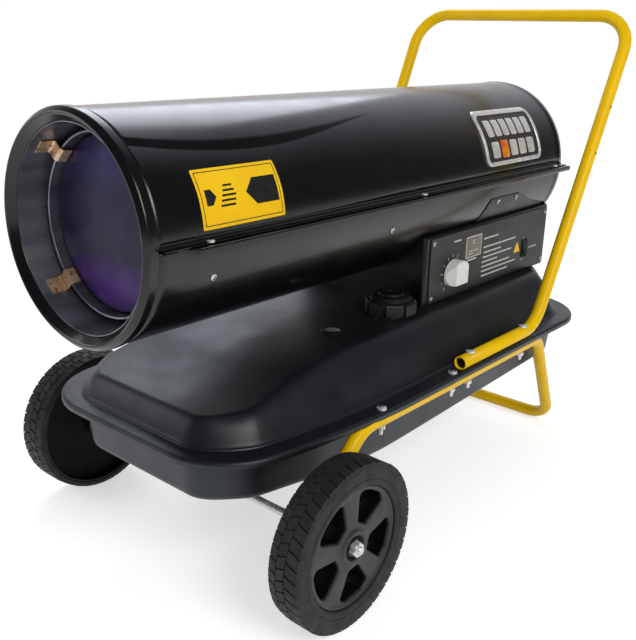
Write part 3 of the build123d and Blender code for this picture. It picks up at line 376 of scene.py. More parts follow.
def bendTube(shape, points, bends, radius, sides, steps):     # ring extruded along the runs, spun round the bends
    heading = (points[1] - points[0]).normalized()
    ring = bmesh.ops.create_circle(shape, segments=sides, radius=radius, matrix=facing(points[0], heading))["verts"]
    edges = [e for e in shape.edges if e.verts[0] in ring and e.verts[1] in ring]
    here = points[0]
    for k in range(1, len(points)):
        heading = (points[k] - points[k - 1]).normalized()
        after, cut = heading, 0.0
        if k < len(points) - 1:
            after = (points[k + 1] - points[k]).normalized()
            cut = bends[k - 1] * math.tan(heading.angle(after) / 2)
        made = bmesh.ops.extrude_edge_only(shape, edges=edges)["geom"]
        ring = vertsOf(made)
        edges = [e for e in edgesOf(made) if e.verts[0] in ring and e.verts[1] in ring]
        bmesh.ops.translate(shape, verts=ring, vec=points[k] - heading * cut - here)
        here = points[k] + after * cut
        if cut:
            inward = (after - heading * after.dot(heading)).normalized()
            last = bmesh.ops.spin(shape, geom=ring + edges, cent=points[k] - heading * cut + inward * bends[k - 1],
                                  axis=heading.cross(after).normalized(), dvec=(0, 0, 0),
                                  angle=heading.angle(after), steps=steps, use_merge=False,
                                  use_duplicate=False)["geom_last"]
            ring, edges = vertsOf(last), edgesOf(last)


def stamp(shape, source, matrix):     # copy a finished shape into another
    mesh = bpy.data.meshes.new("stamp")
    source.to_mesh(mesh)
    mesh.transform(matrix)
    if matrix.determinant() < 0:
        mesh.flip_normals()
    shape.from_mesh(mesh)
    bpy.data.meshes.remove(mesh)


def facing(place, direction):     # matrix that stands a shape's Z along a direction
    return Matrix.Translation(place) @ Vector(direction).to_track_quat("Z", "Y").to_matrix().to_4x4()


def cutPlane(shape, place, normal, clear=False):
    geometry = shape.verts[:] + shape.edges[:] + shape.faces[:]
    return bmesh.ops.bisect_plane(shape, geom=geometry, dist=0.001, plane_co=place, plane_no=normal,
                                  clear_outer=clear)["geom_cut"]


def sliceLevels(shape, axis, pitch):     # extra lines across, so that a flat cutting can bend
    low, high = min(v.co[axis] for v in shape.verts), max(v.co[axis] for v in shape.verts)
    count = max(1, round((high - low) / pitch))
    normal = Vector([float(k == axis) for k in range(3)])
    for k in range(1, count):
        cutPlane(shape, normal * (low + (high - low) * k / count), normal)


def wrapOnBarrel(shape, radius, side=1):     # X of the flat shape is its height over the radius
    sliceLevels(shape, 2, 3.0)
    for corner in shape.verts:
        corner.co.x = side * math.sqrt((radius + corner.co.x) ** 2 - (corner.co.z - barrelZ) ** 2)


def crossHead(radius, height):     # pan head with a cross recess, standing on z 0
    stops = (-1.0, -0.82, -0.56, -0.15, 0.15, 0.56, 0.82, 1.0)
    shape = bmesh.new()
    for corner in bmesh.ops.create_grid(shape, x_segments=7, y_segments=7, size=1.0)["verts"]:
        u, v = stops[round((corner.co.x + 1) * 3.5)], stops[round((corner.co.y + 1) * 3.5)]
        x, y = u * math.sqrt(1 - v * v / 2), v * math.sqrt(1 - u * u / 2)
        corner.co = (x * radius, y * radius, height * (1 - 0.4 * math.hypot(x, y) ** 2.6))
    slot = []
    for face in shape.faces:
        middle = face.calc_center_median()
        far, near = max(abs(middle.x), abs(middle.y)), min(abs(middle.x), abs(middle.y))
        if far < 0.56 * radius and near < 0.1 * radius:
            slot.append(face)
    for corner in vertsOf(bmesh.ops.extrude_face_region(shape, geom=slot)["geom"]):
        corner.co = (corner.co.x * 0.8, corner.co.y * 0.8, corner.co.z - 0.5 * height)
    rim = [e for e in shape.edges if e.is_boundary]
    for corner in vertsOf(bmesh.ops.extrude_edge_only(shape, edges=rim)["geom"]):
        corner.co.z = 0.0
    return shape


def hexBody(flats, height, bore=0.0):     # nut or bolt head with chamfered corners, standing on z 0
    angles = [2 * math.pi * k / 48 for k in range(48)]

    def level(up, limit):
        reaches = [min(flats / 2 / math.cos(a % (math.pi / 3) - math.pi / 6), limit * flats / 2) for a in angles]
        return [(reach * math.cos(a), reach * math.sin(a), up) for a, reach in zip(angles, reaches)]
    loops = [level(0, 0.96), level(0.07 * height, 1.16), level(0.88 * height, 1.16), level(height, 0.98)]
    if bore:
        loops += [[(bore * math.cos(a), bore * math.sin(a), up) for a in angles] for up in (height, 0.6 * height)]
    shape = bmesh.new()
    loft(shape, loops, capStart=True, capEnd=True)
    return shape


def stampHex(shape, place, direction, flats, height):
    head = hexBody(flats, height)
    stamp(shape, head, facing(place, direction))
    head.free()


def pin(shape, start, direction, radius, length, sides=20, chamfer=0.3):     # round bar, chamfered at its end
    one = bmesh.new()
    turnUpright(one, [(0, 0), (radius, 0), (radius, length - chamfer), (radius - chamfer, length), (0, length)],
                (0, 0, 0), sides)
    stamp(shape, one, facing(start, direction))
    one.free()


def finishPiece(shape, name, skin, node="", body="heater", wall=0.0, edge=0.0, sharp=40, core=None,
                edgeAngle=35):
    bmesh.ops.remove_doubles(shape, verts=shape.verts, dist=0.004)
    bmesh.ops.recalc_face_normals(shape, faces=shape.faces)
    if core:     # an open sheet faces away from its core
        middles = [(f, f.calc_center_median()) for f in shape.faces]
        if sum(f.normal.dot(middle - core(middle)) * f.calc_area() for f, middle in middles) < 0:
            bmesh.ops.reverse_faces(shape, faces=shape.faces)
    bmesh.ops.scale(shape, vec=(0.001, 0.001, 0.001), verts=shape.verts)
    mesh = bpy.data.meshes.new(name)
    shape.to_mesh(mesh)
    shape.free()
    mesh.shade_smooth()
    mesh.set_sharp_from_angle(angle=math.radians(sharp))
    mesh.materials.append(finish[skin])
    piece = bpy.data.objects.new(name, mesh)
    scene.collection.objects.link(piece)
    if wall:
        solid = piece.modifiers.new("wall", "SOLIDIFY")
        solid.thickness, solid.offset, solid.use_even_offset = wall / 1000, -1.0, True
    if edge:
        bevel = piece.modifiers.new("edge", "BEVEL")
        bevel.width, bevel.segments, bevel.limit_method = edge / 1000, 3, "ANGLE"
        bevel.angle_limit, bevel.harden_normals = math.radians(edgeAngle), True
    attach(piece, body)
    if node:
        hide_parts(node)


def barrelCore(point):
    return Vector((0, point.y, barrelZ))


# Camera and studio: degrees, metres, and the lens and sensor in mm.
photoView = {"heading": 40.47, "tilt": 18.8, "roll": 1.32, "lens": 47.68, "sensor": 36.0, "near": 0.02,
             "place": (0.7358, -0.9244, 0.6360)}
studio = {"fill": 0.34, "backFill": 0.8, "dark": 0.10, "white": 1.0, "behind": (-0.63, 0.74, 0.22),
          "whiteFrom": 0.35, "whiteTo": 0.92, "floorLift": 0.55, "fadeFrom": 0.75, "fadeTo": 1.5}
# Lamps: power, size, place, target and colour.
lamps = {"topSoftbox": (17.0, (1.5, 1.1), (-1.15, 1.0, 1.85), (0, 0, 0.44), "#f1f5ff"),
         "keySoftbox": (27.0, (1.0, 1.0), (1.9, -0.75, 1.55), (0, 0, 0.35), "#fffaf2"),
         "leftSoftbox": (8.0, (1.0, 1.2), (-1.6, -1.5, 1.0), (0, -0.2, 0.35), "#ffffff")}


def makeCamera():
    heading, tilt, roll = (math.radians(photoView[name]) for name in ("heading", "tilt", "roll"))
    ahead = Vector((-math.sin(heading) * math.cos(tilt), math.cos(heading) * math.cos(tilt), -math.sin(tilt)))
    right = ahead.cross(Vector((0, 0, 1))).normalized()
    up = right.cross(ahead)
    across = right * math.cos(roll) + up * math.sin(roll)
    upwards = up * math.cos(roll) - right * math.sin(roll)
    view = bpy.data.cameras.new("photoCamera")
    view.lens, view.sensor_width, view.clip_start = photoView["lens"], photoView["sensor"], photoView["near"]
    camera = bpy.data.objects.new("photoCamera", view)
    turnTo = Matrix((across, upwards, -ahead)).transposed().to_4x4()
    camera.matrix_world = Matrix.Translation(photoView["place"]) @ turnTo
    scene.collection.objects.link(camera)
    scene.camera = camera


def mixShaders(tree, share, first, second):
    return addNode(tree, "ShaderNodeMixShader", links={0: share, 1: first.outputs[0], 2: second.outputs[0]})


def seenBy(tree, kinds):     # 1 for the rays of these kinds
    path = addNode(tree, "ShaderNodeLightPath")
    share = path.outputs[kinds[0]]
    for kind in kinds[1:]:
        larger = addNode(tree, "ShaderNodeMath", {"operation": "MAXIMUM"}, {0: share, 1: path.outputs[kind]})
        share = larger.outputs[0]
    return share


def makeStudio():     # white for the camera and glass, and behind the heater for metal; dark at the sides for enamel
    world = bpy.data.worlds.new("studio")
    scene.world = world
    world.use_nodes = True
    tree = world.node_tree
    backdrop = tree.nodes["Background"]
    direction = addNode(tree, "ShaderNodeTexCoord").outputs["Generated"]
    towards = addNode(tree, "ShaderNodeVectorMath", {"operation": "DOT_PRODUCT", 1: studio["behind"]}, {0: direction})
    limits = {"interpolation_type": "SMOOTHSTEP", "From Min": studio["whiteFrom"], "From Max": studio["whiteTo"]}
    share = addNode(tree, "ShaderNodeMapRange", limits, {"Value": towards.outputs["Value"]}).outputs["Result"]
    matt = spread(tree, share, studio["fill"], studio["backFill"], 0.0, 1.0)
    shiny = spread(tree, share, studio["dark"], studio["white"], 0.0, 1.0)
    strength = addNode(tree, "ShaderNodeMix", {"data_type": "FLOAT"},
                       {0: seenBy(tree, ["Is Glossy Ray"]), 2: matt, 3: shiny}).outputs[0]
    height = addNode(tree, "ShaderNodeSeparateXYZ", links={"Vector": direction}).outputs["Z"]
    sky = blendColours(tree, "#fff9f1", "#eff4ff", spread(tree, height, 0.0, 1.0, 0.0, 0.6))
    tree.links.new(sky, backdrop.inputs["Color"])
    tree.links.new(strength, backdrop.inputs["Strength"])
    seen = addNode(tree, "ShaderNodeBackground", {"Color": (1, 1, 1, 1), "Strength": studio["white"]})
    both = mixShaders(tree, seenBy(tree, ["Is Camera Ray", "Is Transmission Ray"]), backdrop, seen)
    tree.links.new(both.outputs[0], tree.nodes["World Output"].inputs["Surface"])


def addLamp(name, power, size, place, target, colour):
    lamp = bpy.data.lights.new(name, "AREA")
    lamp.shape, lamp.size, lamp.size_y = "RECTANGLE", size[0], size[1]
    lamp.energy, lamp.color = power, linear(colour)[:3]
    holder = bpy.data.objects.new(name, lamp)
    holder.location = place
    holder.rotation_euler = (Vector(target) - Vector(place)).to_track_quat("-Z", "Y").to_euler()
    scene.collection.objects.link(holder)


def makeFloor():     # pale paper that keeps the shadow and fades to white away from the heater
    shape = bmesh.new()
    bmesh.ops.create_grid(shape, x_segments=8, y_segments=8, size=6.0)
    mesh = bpy.data.meshes.new("studioFloor")
    shape.to_mesh(mesh)
    shape.free()
    floor = bpy.data.objects.new("studioFloor", mesh)
    scene.collection.objects.link(floor)
    material = bpy.data.materials.new("paleFloor")
    material.use_nodes = True
    tree = material.node_tree
    tree.nodes.clear()
    place = addNode(tree, "ShaderNodeTexCoord").outputs["Object"]
    paper = blendColours(tree, "#e9e9e9", "#efefef", addNoise(tree, place, 400))
    matt = addNode(tree, "ShaderNodeBsdfDiffuse", links={"Color": paper})
    lift = addNode(tree, "ShaderNodeEmission", {"Strength": studio["floorLift"]})
    lifted = addNode(tree, "ShaderNodeAddShader", links={0: matt.outputs[0], 1: lift.outputs[0]})
    white = addNode(tree, "ShaderNodeEmission", {"Strength": studio["white"]})
    away = addNode(tree, "ShaderNodeVectorMath", {"operation": "LENGTH"}, {0: place}).outputs["Value"]
    faded = mixShaders(tree, spread(tree, away, 0.0, 1.0, studio["fadeFrom"], studio["fadeTo"]), lifted, white)
    seen = seenBy(tree, ["Is Camera Ray", "Is Glossy Ray", "Is Transmission Ray"])
    addNode(tree, "ShaderNodeOutputMaterial", links={"Surface": mixShaders(tree, seen, matt, faded).outputs[0]})
    mesh.materials.append(material)


makeCamera()
makeStudio()
for name, settings in lamps.items():
    addLamp(name, *settings)
makeFloor()
print("studio ready")


# Outlet: profiles are (radius, behind), from the front.
outletRing = {"outer": 125.3, "lip": 119.8, "mouth": 110.0, "depth": 14.2, "end": 14.0, "sheet": 1.3,
              "curves": (0, 4.0, 3.2, 3.0, 2.5, 0)}


def makeOutletRing():
    names = ("outer", "lip", "mouth", "depth", "end", "sheet")
    outer, lip, mouth, depth, end, sheet = (outletRing[name] for name in names)
    front = roundCorners([(outer, depth), (outer, 4.6), (lip, -0.4), (117.0, 0.8), (mouth, 8.4), (mouth, end)],
                         outletRing["curves"], 6)
    inside = [(r - sheet * leanR, a + sheet * leanA) for r, a, leanR, leanA in
              ((mouth, end, -1, 0), (mouth, 8.9, -1, 0.2), (lip, 1.2, 0.1, 0.5), (outer, 5.2, 1, 0.1),
               (outer, depth, 1, 0))]
    shape = bmesh.new()
    turnOnBarrel(shape, [tuple(p) for p in front] + inside, closed=True)
    finishPiece(shape, "outletRing", "bakedEnamel", "outlet_ring", sharp=50)


liner = {"radius": 109.9, "front": 9.0, "back": 400.0, "sheet": 0.8, "groove": ((60, 0.0), (64, 0.6), (68, 0.0))}
chamber = {"radius": 98.8, "front": 40.0, "back": 385.0, "bead": 1.5, "inset": 0.4, "sheet": 1.1, "end": 1.2,
           "bore": 36}
disc = {"radius": 94.7, "behind": 52.0, "back": 60, "sheet": 1.0, "curves": (0, 60, 80, 2.2, 0),
        "face": ((0, 47.2), (30, 47.8), (70, 49.9)), "inner": ((70, 51.2), (30, 49.0), (0, 48.4))}


def makeOutletInside():
    shape = bmesh.new()
    r, sheet = liner["radius"], liner["sheet"]
    outside = [(r, liner["front"])] + [(r - dip, a) for a, dip in liner["groove"]] + [(r, liner["back"])]
    turnOnBarrel(shape, outside + [(radius - sheet, a) for radius, a in reversed(outside)], closed=True)
    finishPiece(shape, "innerLiner", "linerSteel", "inner_liner")

    shape = bmesh.new()
    r, front, back, bead, sheet, end, bore = (chamber[name] for name in
                                              ("radius", "front", "back", "bead", "sheet", "end", "bore"))
    roll = [(r + bead * math.cos(a) - chamber["inset"], front + bead + bead * math.sin(a))
            for a in [math.radians(v) for v in range(60, -241, -20)]]
    turnOnBarrel(shape, roll + [(r - sheet, front + 4), (r - sheet, back - end), (bore, back - end), (bore, back),
                                (r, back), (r, front + 4)], closed=True)
    finishPiece(shape, "combustionChamber", "linerSteel", "combustion_chamber")

    shape = bmesh.new()
    edge, behind, back = disc["radius"], disc["behind"], disc["back"]
    face = roundCorners([*disc["face"], (edge, behind), (edge, back)], disc["curves"], 5)
    inner = [(edge - disc["sheet"], back), (edge - disc["sheet"], behind + 2.2), *disc["inner"]]
    turnOnBarrel(shape, [tuple(p) for p in face] + inner, steps=96)
    finishPiece(shape, "flameDisc", "heatTintAndReflection", "front_baffle")


bracket = {"angles": (45, 135, 225, 315), "halfWidth": 9.5, "sheet": 1.4, "bend": 2.0,
           "fold": ((108.6, 20.0), (108.6, 35.5), (106.5, 38.3), (97.0, 38.3), (94.6, 41.0), (93.6, 51.0))}


def makeBrackets():
    shape = bmesh.new()
    half = bracket["halfWidth"]
    for angle in bracket["angles"]:
        one = bmesh.new()
        path = roundCorners([(r, lipY + a, -half) for r, a in bracket["fold"]], bracket["bend"], 4)
        sweepLine(one, path, (0, 0, 2 * half))
        stamp(shape, one, Matrix.Translation((0, 0, barrelZ)) @ Matrix.Rotation(math.radians(-angle), 4, "Y"))
        one.free()
    finishPiece(shape, "linerBrackets", "bronzedSteel", "burner_brackets", wall=bracket["sheet"],
                edge=0.5, core=lambda p: p + Vector((0, 60, 0)))


makeOutletRing()
makeOutletInside()
makeBrackets()
print("outlet ready")


# Casing: the flange comes out of the round along (behind, share) pairs.
casing = {"front": 13.6, "sheet": 1.2, "swage": (842.0, 4.0, 1.1),
          "backLines": [834, 837, 839.5, 842, 844.5, 847, 850],
          "upperFlange": ((123.9, 0, 444.0), (124.3, 0, 439.3), (134.0, 0, 439.3)), "upperFrom": 15.5,
          "lowerFlange": ((123.9, 0, 431.0), (124.3, 0, 437.6), (141.0, 0, 437.6), (141.0, 0, 430.6),
                          (137.6, 0, 430.6), (137.6, 0, 433.5)),
          "lowerRounding": (0, 3.0, 1.7, 1.6, 1.6, 0), "seamZ": 437.6, "lowerStart": 0.7, "lowerArc": 178.6,
          "lowerColumns": 96, "flangeOut": ((33.0, 0.0), (52.0, 1.0), (54.0, 1.0), (barrelBack, 1.0))}
# Heights of the pressed step's two edges, in degrees above the seam.
dart = {"topEdge": ((13, 54.6), (47, 51.1), (88, 48.3), (129, 46.7), (205, 46.5), (297, 49.6), (350, 52.6),
                    (398, 55.6)),
        "footEdge": ((13, 51.0), (51, 47.2), (78, 45.1), (121, 42.7), (168, 41.6), (224, 42.4), (289, 46.3),
                     (345, 50.9), (398, 55.4)),
        "depth": 5.0, "fade": 25.0}


def casingRadius(behind):     # a rolled bead stands out close to the back edge
    place, width, height = casing["swage"]
    return shellRadius + height * math.exp(-((behind - place) / width) ** 2)


def gridSheet(shape, columns, rows, place):     # a grid whose corners are put where place says
    made = bmesh.ops.create_grid(shape, x_segments=columns, y_segments=rows, size=1.0)["verts"]
    for corner in made:
        corner.co = place(round((corner.co.x + 1) / 2 * columns), round((corner.co.y + 1) / 2 * rows))


def dartAngle(behind, u):     # u is 0 at the seam, 1 to 2 over the fade, 2 to 3 over the step, 4 at the top
    top, foot = alongKnots(dart["topEdge"], behind), alongKnots(dart["footEdge"], behind)
    stops = (0.75, foot - dart["fade"], foot, max(top, foot + 0.3), 90.0)
    k = min(int(u), 3)
    return stops[k] + (stops[k + 1] - stops[k]) * (u - k)


def dartDepth(behind, u):
    top, foot = alongKnots(dart["topEdge"], behind), alongKnots(dart["footEdge"], behind)
    full = dart["depth"] * min(1.0, max(0.0, top - foot - 0.2) / 6.5)
    if u <= 1 or u >= 3:
        return 0.0
    return full * (u - 1) ** 1.25 if u <= 2 else full * (3 - u)


def makeUpperShell():
    quarter = [k / 6 for k in range(7)] + [1 + k / 12 for k in range(1, 12)]
    quarter += [1.97, 2.0, 2.05, 2.3, 2.7, 2.95, 3.0, 3.03] + [3 + k / 14 for k in range(1, 15)]
    across = quarter + [8 - u for u in reversed(quarter[:-1])]
    front = casing["front"]
    lengths = [front + k * 7.0 for k in range(57)] + [front + 392 + k * 14 for k in range(1, 31)]
    lengths += casing["backLines"]

    def place(column, row):
        behind, u = lengths[row], across[column]
        mirrored = u > 4
        u = 8 - u if mirrored else u
        point = aroundBarrel(casingRadius(behind) - dartDepth(behind, u), behind, dartAngle(behind, u))
        return Vector((-point.x, point.y, point.z)) if mirrored else point

    shape = bmesh.new()
    gridSheet(shape, len(across) - 1, len(lengths) - 1, place)
    finishPiece(shape, "upperCasing", "bakedEnamel", "upper_shell", wall=casing["sheet"],
                core=barrelCore, sharp=60)

    shape = bmesh.new()
    start = casing["upperFrom"]
    bend = roundCorners(casing["upperFlange"], [0, 3.0, 0], 5)
    for side in (1, -1):
        sweepLine(shape, [Vector((side * p.x, lipY + start, p.z)) for p in bend], (0, barrelBack - start, 0))
    finishPiece(shape, "upperFlange", "bakedEnamel", wall=1.2, edge=0.3,
                core=lambda p: p + Vector((0, 0, -30)))


def makeLowerShell():
    lengths = [casing["front"] + k * 14.6 for k in range(57)] + casing["backLines"]
    columns = casing["lowerColumns"]

    def place(column, row):
        degrees = -casing["lowerStart"] - casing["lowerArc"] * column / columns
        return aroundBarrel(casingRadius(lengths[row]), lengths[row], degrees)

    shape = bmesh.new()
    gridSheet(shape, columns, len(lengths) - 1, place)
    finishPiece(shape, "lowerCasing", "bakedEnamel", "lower_shell", wall=casing["sheet"],
                core=barrelCore, sharp=60)

    shape = bmesh.new()
    rim = roundCorners(casing["lowerFlange"], casing["lowerRounding"], 5)
    seam = casing["seamZ"]
    for side in (1, -1):
        loft(shape, [[Vector((side * (shellRadius + (p.x - shellRadius) * (0.06 + 0.94 * out)), lipY + behind,
                              seam + (p.z - seam) * (0.3 + 0.7 * out))) for p in rim]
                     for behind, out in casing["flangeOut"]], closed=False)
    finishPiece(shape, "lowerFlange", "bakedEnamel", wall=1.0, edge=0.2,
                core=lambda p: Vector((132 if p.x > 0 else -132, p.y, 434)), sharp=60)


makeUpperShell()
makeLowerShell()
print("casing ready")


# Fuel tank: insets run in from the flange's edge, and heights follow (behind, up) pairs.
tank = {"side": 198.0, "front": 45.0, "back": 875.0, "frontCorner": 95.0, "backCorner": 100.0, "sweep": 1350.0,
        "sweepFrom": 360.0, "flangeTop": 204.4, "flangeLow": 195.6, "step": 1.8, "sheet": 1.5,
        "wallFoot": 26.0, "wallSlope": ((85, 0.36), (125, 0.37), (200, 0.445)), "footBlend": 5.0,
        "shoulder": ((85, 36.0), (110, 38.0), (200, 46.0), (260, 42.0), (350, 34.0)),
        "deck": ((85, 235.0), (108, 236.5), (124, 238.0), (141, 240.5), (177, 248.3), (213, 257.5), (260, 265.3),
                 (320, 269.9), (402, 271.8), (500, 272.0)),
        "middle": (86, 89, 93, 98, 104, 110, 117, 124, 132, 141, 151, 162, 174, 186, 198),
        "panTop": 201.4, "panInner": 92.0, "panSlope": 0.1228, "ridge": (243.0, 677.0), "ridgeFrom": 80.0,
        "ridgeOver": 118.0, "endLean": 0.14, "cornerLean": (0.16, 0.10), "cornerFrom": 30.0, "cornerTo": 70.0,
        "floor": ((50, 135.5), (130, 133.0), (186, 130.0), (250, 124.5), (320, 121.2), (370, 121.2), (450, 123.8),
                  (742, 134.0), (880, 138.5)),
        "floorRing": ((98, 0.0), (101, 2.4), (112, 2.4), (115, 0.0), (140, 0.0), (165, 0.0), (198, 0.0))}


def tankOutline():     # right half of the flange's edge from front to back: place and outward direction
    front, back, corner, backCorner = tank["front"], tank["back"], tank["frontCorner"], tank["backCorner"]
    side, sweep, sweepFrom = tank["side"], tank["sweep"], tank["sweepFrom"]
    sweepX, hubAt = side - sweep, front + corner
    hubX = sweepX + math.sqrt((sweep - corner) ** 2 - (sweepFrom - hubAt) ** 2)
    lean = math.atan2(hubAt - sweepFrom, hubX - sweepX)
    cornerX, cornerAt = side - backCorner, back - backCorner

    def arc(x, d, radius, start, end, count):
        angles = [start + (end - start) * k / count for k in range(count)]
        return [(x + radius * math.cos(a), d + radius * math.sin(a), math.cos(a), math.sin(a)) for a in angles]
    half = [(hubX * k / 12, front, 0.0, -1.0) for k in range(12)]
    half += arc(hubX, hubAt, corner, -math.pi / 2, lean, 18) + arc(sweepX, sweepFrom, sweep, lean, 0.0, 24)
    half += [(side, sweepFrom + (cornerAt - sweepFrom) * k / 34, 1.0, 0.0) for k in range(34)]
    half += arc(cornerX, cornerAt, backCorner, 0.0, math.pi / 2, 14)
    return half + [(cornerX * (1 - k / 12), back, 0.0, 1.0) for k in range(13)]


halfOutline = tankOutline()


def tankPlaces(inset):     # the flange's edge moved in, all the way round
    places = []
    (first, last), start, reach = tank["ridge"], tank["ridgeFrom"], tank["ridgeOver"]
    (outer, inner), near, far = tank["cornerLean"], tank["cornerFrom"], tank["cornerTo"]
    for x, d, outX, outD in halfOutline:
        diagonal = 2 * outX * outD
        shift = min(inset, start) * (1 - tank["endLean"] * outD ** 4) + min(inset, near) * outer * abs(diagonal) ** 1.5
        shift += max(0.0, min(inset, far) - near) * inner * diagonal ** 2
        x, d = x - outX * shift, d - outD * shift
        share = max(0.0, inset - start) / reach     # from here in, all draws together to a line down the middle
        places.append((x * (1 - share), d + (min(max(d, first), last) - d) * share))
    return places + [(-x, d) for x, d in reversed(places[1:-1])]


def flatLoop(inset, up):
    return [spot(x, d, up) for x, d in tankPlaces(inset)]


def softMin(first, second, blend):     # the lower of two heights, rounded where they cross
    return min(first, second) - max(blend - abs(first - second), 0.0) ** 2 / (4 * blend)


def finishTank(shape, name, node, coreUp):
    finishPiece(shape, name, "tankEnamel", node, wall=tank["sheet"],
                core=lambda p: Vector((0, p.y * 0.8, coreUp)), sharp=50)


def makeTankTop():
    top = tank["flangeTop"]
    low = top + tank["step"]

    def deckLevel(inset, behind):
        wall = low + (inset - tank["wallFoot"]) / alongKnots(tank["wallSlope"], behind)
        level = softMin(wall, alongKnots(tank["deck"], behind), alongKnots(tank["shoulder"], behind))
        return -softMin(-level, -low, tank["footBlend"])
    lip = roundCorners([(0.0, tank["flangeLow"]), (0.0, top), (24.0, top)], [0, 6.0, 0], 6)
    step = roundCorners([(21.5, top), (23.4, top), (24.2, low), (25.4, low)], [0, 0.7, 0.6, 0], 3)
    loops = [flatLoop(p.x, p.y) for p in lip[:-1] + step[:-1]]
    insets = [25.4, 26] + [26.4 + 0.8 * k for k in range(6)] + [30.4 + 1.6 * k for k in range(1, 34)]
    for inset in insets + list(tank["middle"]):
        loops.append([spot(x, d, deckLevel(inset, d)) for x, d in tankPlaces(inset)])
    shape = bmesh.new()
    loft(shape, loops)
    finishTank(shape, "tankTop", "tank_top", 120)


def makeTankPan():
    top, foot = tank["panTop"], tank["wallFoot"]
    sections = []
    for x, d in tankPlaces(45.0):
        floor = alongKnots(tank["floor"], d)
        corners = [(foot - 2, top), (foot + 1, top), (foot + (top - floor) * tank["panSlope"], floor),
                   (tank["panInner"], floor)]
        sections.append((floor, roundCorners(corners, [0, 3.0, 12.0, 0], 7)))
    loops = [flatLoop(1.7, top), flatLoop(foot - 4, top)]
    for j in range(1, len(sections[0][1])):
        loop = []
        for i, (floor, section) in enumerate(sections):
            x, d = tankPlaces(section[j].x)[i]
            share = (top - section[j].y) / (top - floor)
            loop.append(spot(x, d, section[j].y + (alongKnots(tank["floor"], d) - floor) * share))
        loops.append(loop)
    for inset, lift in tank["floorRing"]:
        loops.append([spot(x, d, alongKnots(tank["floor"], d) + lift) for x, d in tankPlaces(inset)])
    shape = bmesh.new()
    loft(shape, loops)
    finishTank(shape, "tankPan", "tank_pan", 260)


makeTankTop()
makeTankPan()
print("tank ready")


# Control box: places on its side plates are (behind, up).
box = {"front": 484.0, "back": 845.0, "halfWidth": 112.0, "low": 271.0, "top": 372.0, "edge": 4.0, "sheet": 1.2,
       "margin": 20.0}
panel = {"front": 496.0, "back": 841.0, "low": 274.0, "high": 368.0, "plate": 1.5, "corner": 3.0,
         "screws": ((503.0, 281.0), (503.0, 361.0), (834.0, 281.0), (834.0, 361.0))}
panelX = box["halfWidth"] + panel["plate"]


def makeControlBox():
    half, low, top = box["halfWidth"], box["low"], box["top"]
    reach = math.asin((top - barrelZ) / shellRadius)
    saddle = [(shellRadius * math.cos(a), 0, barrelZ + shellRadius * math.sin(a))
              for a in [reach + (-math.pi - 2 * reach) * k / 40 for k in range(41)]]
    outline = [Vector(p) for p in [(half, 0, low), (half, 0, top), *saddle, (-half, 0, top), (-half, 0, low)]]
    shape = bmesh.new()
    loft(shape, [[p + Vector((0, lipY + d, 0)) for p in outline] for d in (box["front"], box["back"])],
         capStart=True, capEnd=True)

    def onSide(element):
        return all(abs(abs(v.co.x) - half) < 0.01 for v in element.verts)
    edges = [e for e in shape.edges if onSide(e) and (all(v.co.z > top - 0.01 for v in e.verts)
                                                      or abs(e.verts[0].co.z - e.verts[1].co.z) > 50)]
    bmesh.ops.bevel(shape, geom=edges, offset=box["edge"], segments=5, profile=0.5, affect="EDGES", material=-1)
    sides = [f for f in shape.faces if onSide(f) and f.calc_area() > 9000]
    bmesh.ops.inset_individual(shape, faces=sides, thickness=box["margin"], use_even_offset=True)
    bmesh.ops.delete(shape, geom=sides, context="FACES")     # openings behind both side plates
    finishPiece(shape, "controlBox", "boxEnamel", "control_box", wall=box["sheet"],
                core=lambda p: Vector((0, lipY + 660, 320)))


def roundedOutline(low, high, radius, steps=6, inset=0.0):     # closed outline between two (behind, up) corners
    (a0, b0), (a1, b1) = (low[0] + inset, low[1] + inset), (high[0] - inset, high[1] - inset)
    return roundCorners([(a0, b0), (a1, b0), (a1, b1), (a0, b1)], radius, steps, closed=True)


def panelOutline():
    return roundedOutline((panel["front"], panel["low"]), (panel["back"], panel["high"]), panel["corner"])


def onPlane(outline, x):     # outline of (behind, up) at a place across
    return [spot(x, p[0], p[1]) for p in outline]


def addPlate(shape, outline, x, thick):     # flat plate on the panel's plane
    made = bmesh.ops.extrude_face_region(shape, geom=[addFace(shape, onPlane(outline, x))])["geom"]
    bmesh.ops.translate(shape, verts=vertsOf(made), vec=(thick, 0, 0))


def addRule(shape, start, end, up, half, rounding, x, thick):
    addPlate(shape, roundedOutline((start, up - half), (end, up + half), rounding, 2), x, thick)


ink = 0.08
rules = {"text": ((639, 682, 346.0), (639, 739, 332.5), (641, 694, 324.2), (639, 728, 316.8), (638, 684, 309.6),
                  (638, 724, 302.4), (638, 744, 295.2), (639, 720, 287.8)),
         "labels": ((555, 574, 355.4), (594, 620, 320.4), (787, 813, 307.6)), "half": 1.15,
         "caution": ((736, 306.5), (757, 306.5), (746.5, 324.5))}
knob = {"behind": 554.5, "up": 308.0, "radius": 22.5, "flatFoot": -12.0, "barAt": 117, "barSlope": (7.5, 15.5),
        "profile": ((0, 114.5), (22.5, 114.5), (22.5, 129.4), (22.0, 130.6), (20.9, 131.3), (19.5, 131.5),
                    (0, 131.5)),
        "ticks": 11, "tickRadius": 27.2, "tickReach": (2.6, 1.5)}
window = {"low": (589.0, 324.5), "high": (631.0, 355.5), "frame": ((-0.6, 0.0), (-0.6, 0.5), (0.9, 0.5), (0.9, 0.3)),
          "marks": ((596, 609, 329.4), (596, 624, 333.6), (606, 614, 345.0), (606, 614, 349.0))}
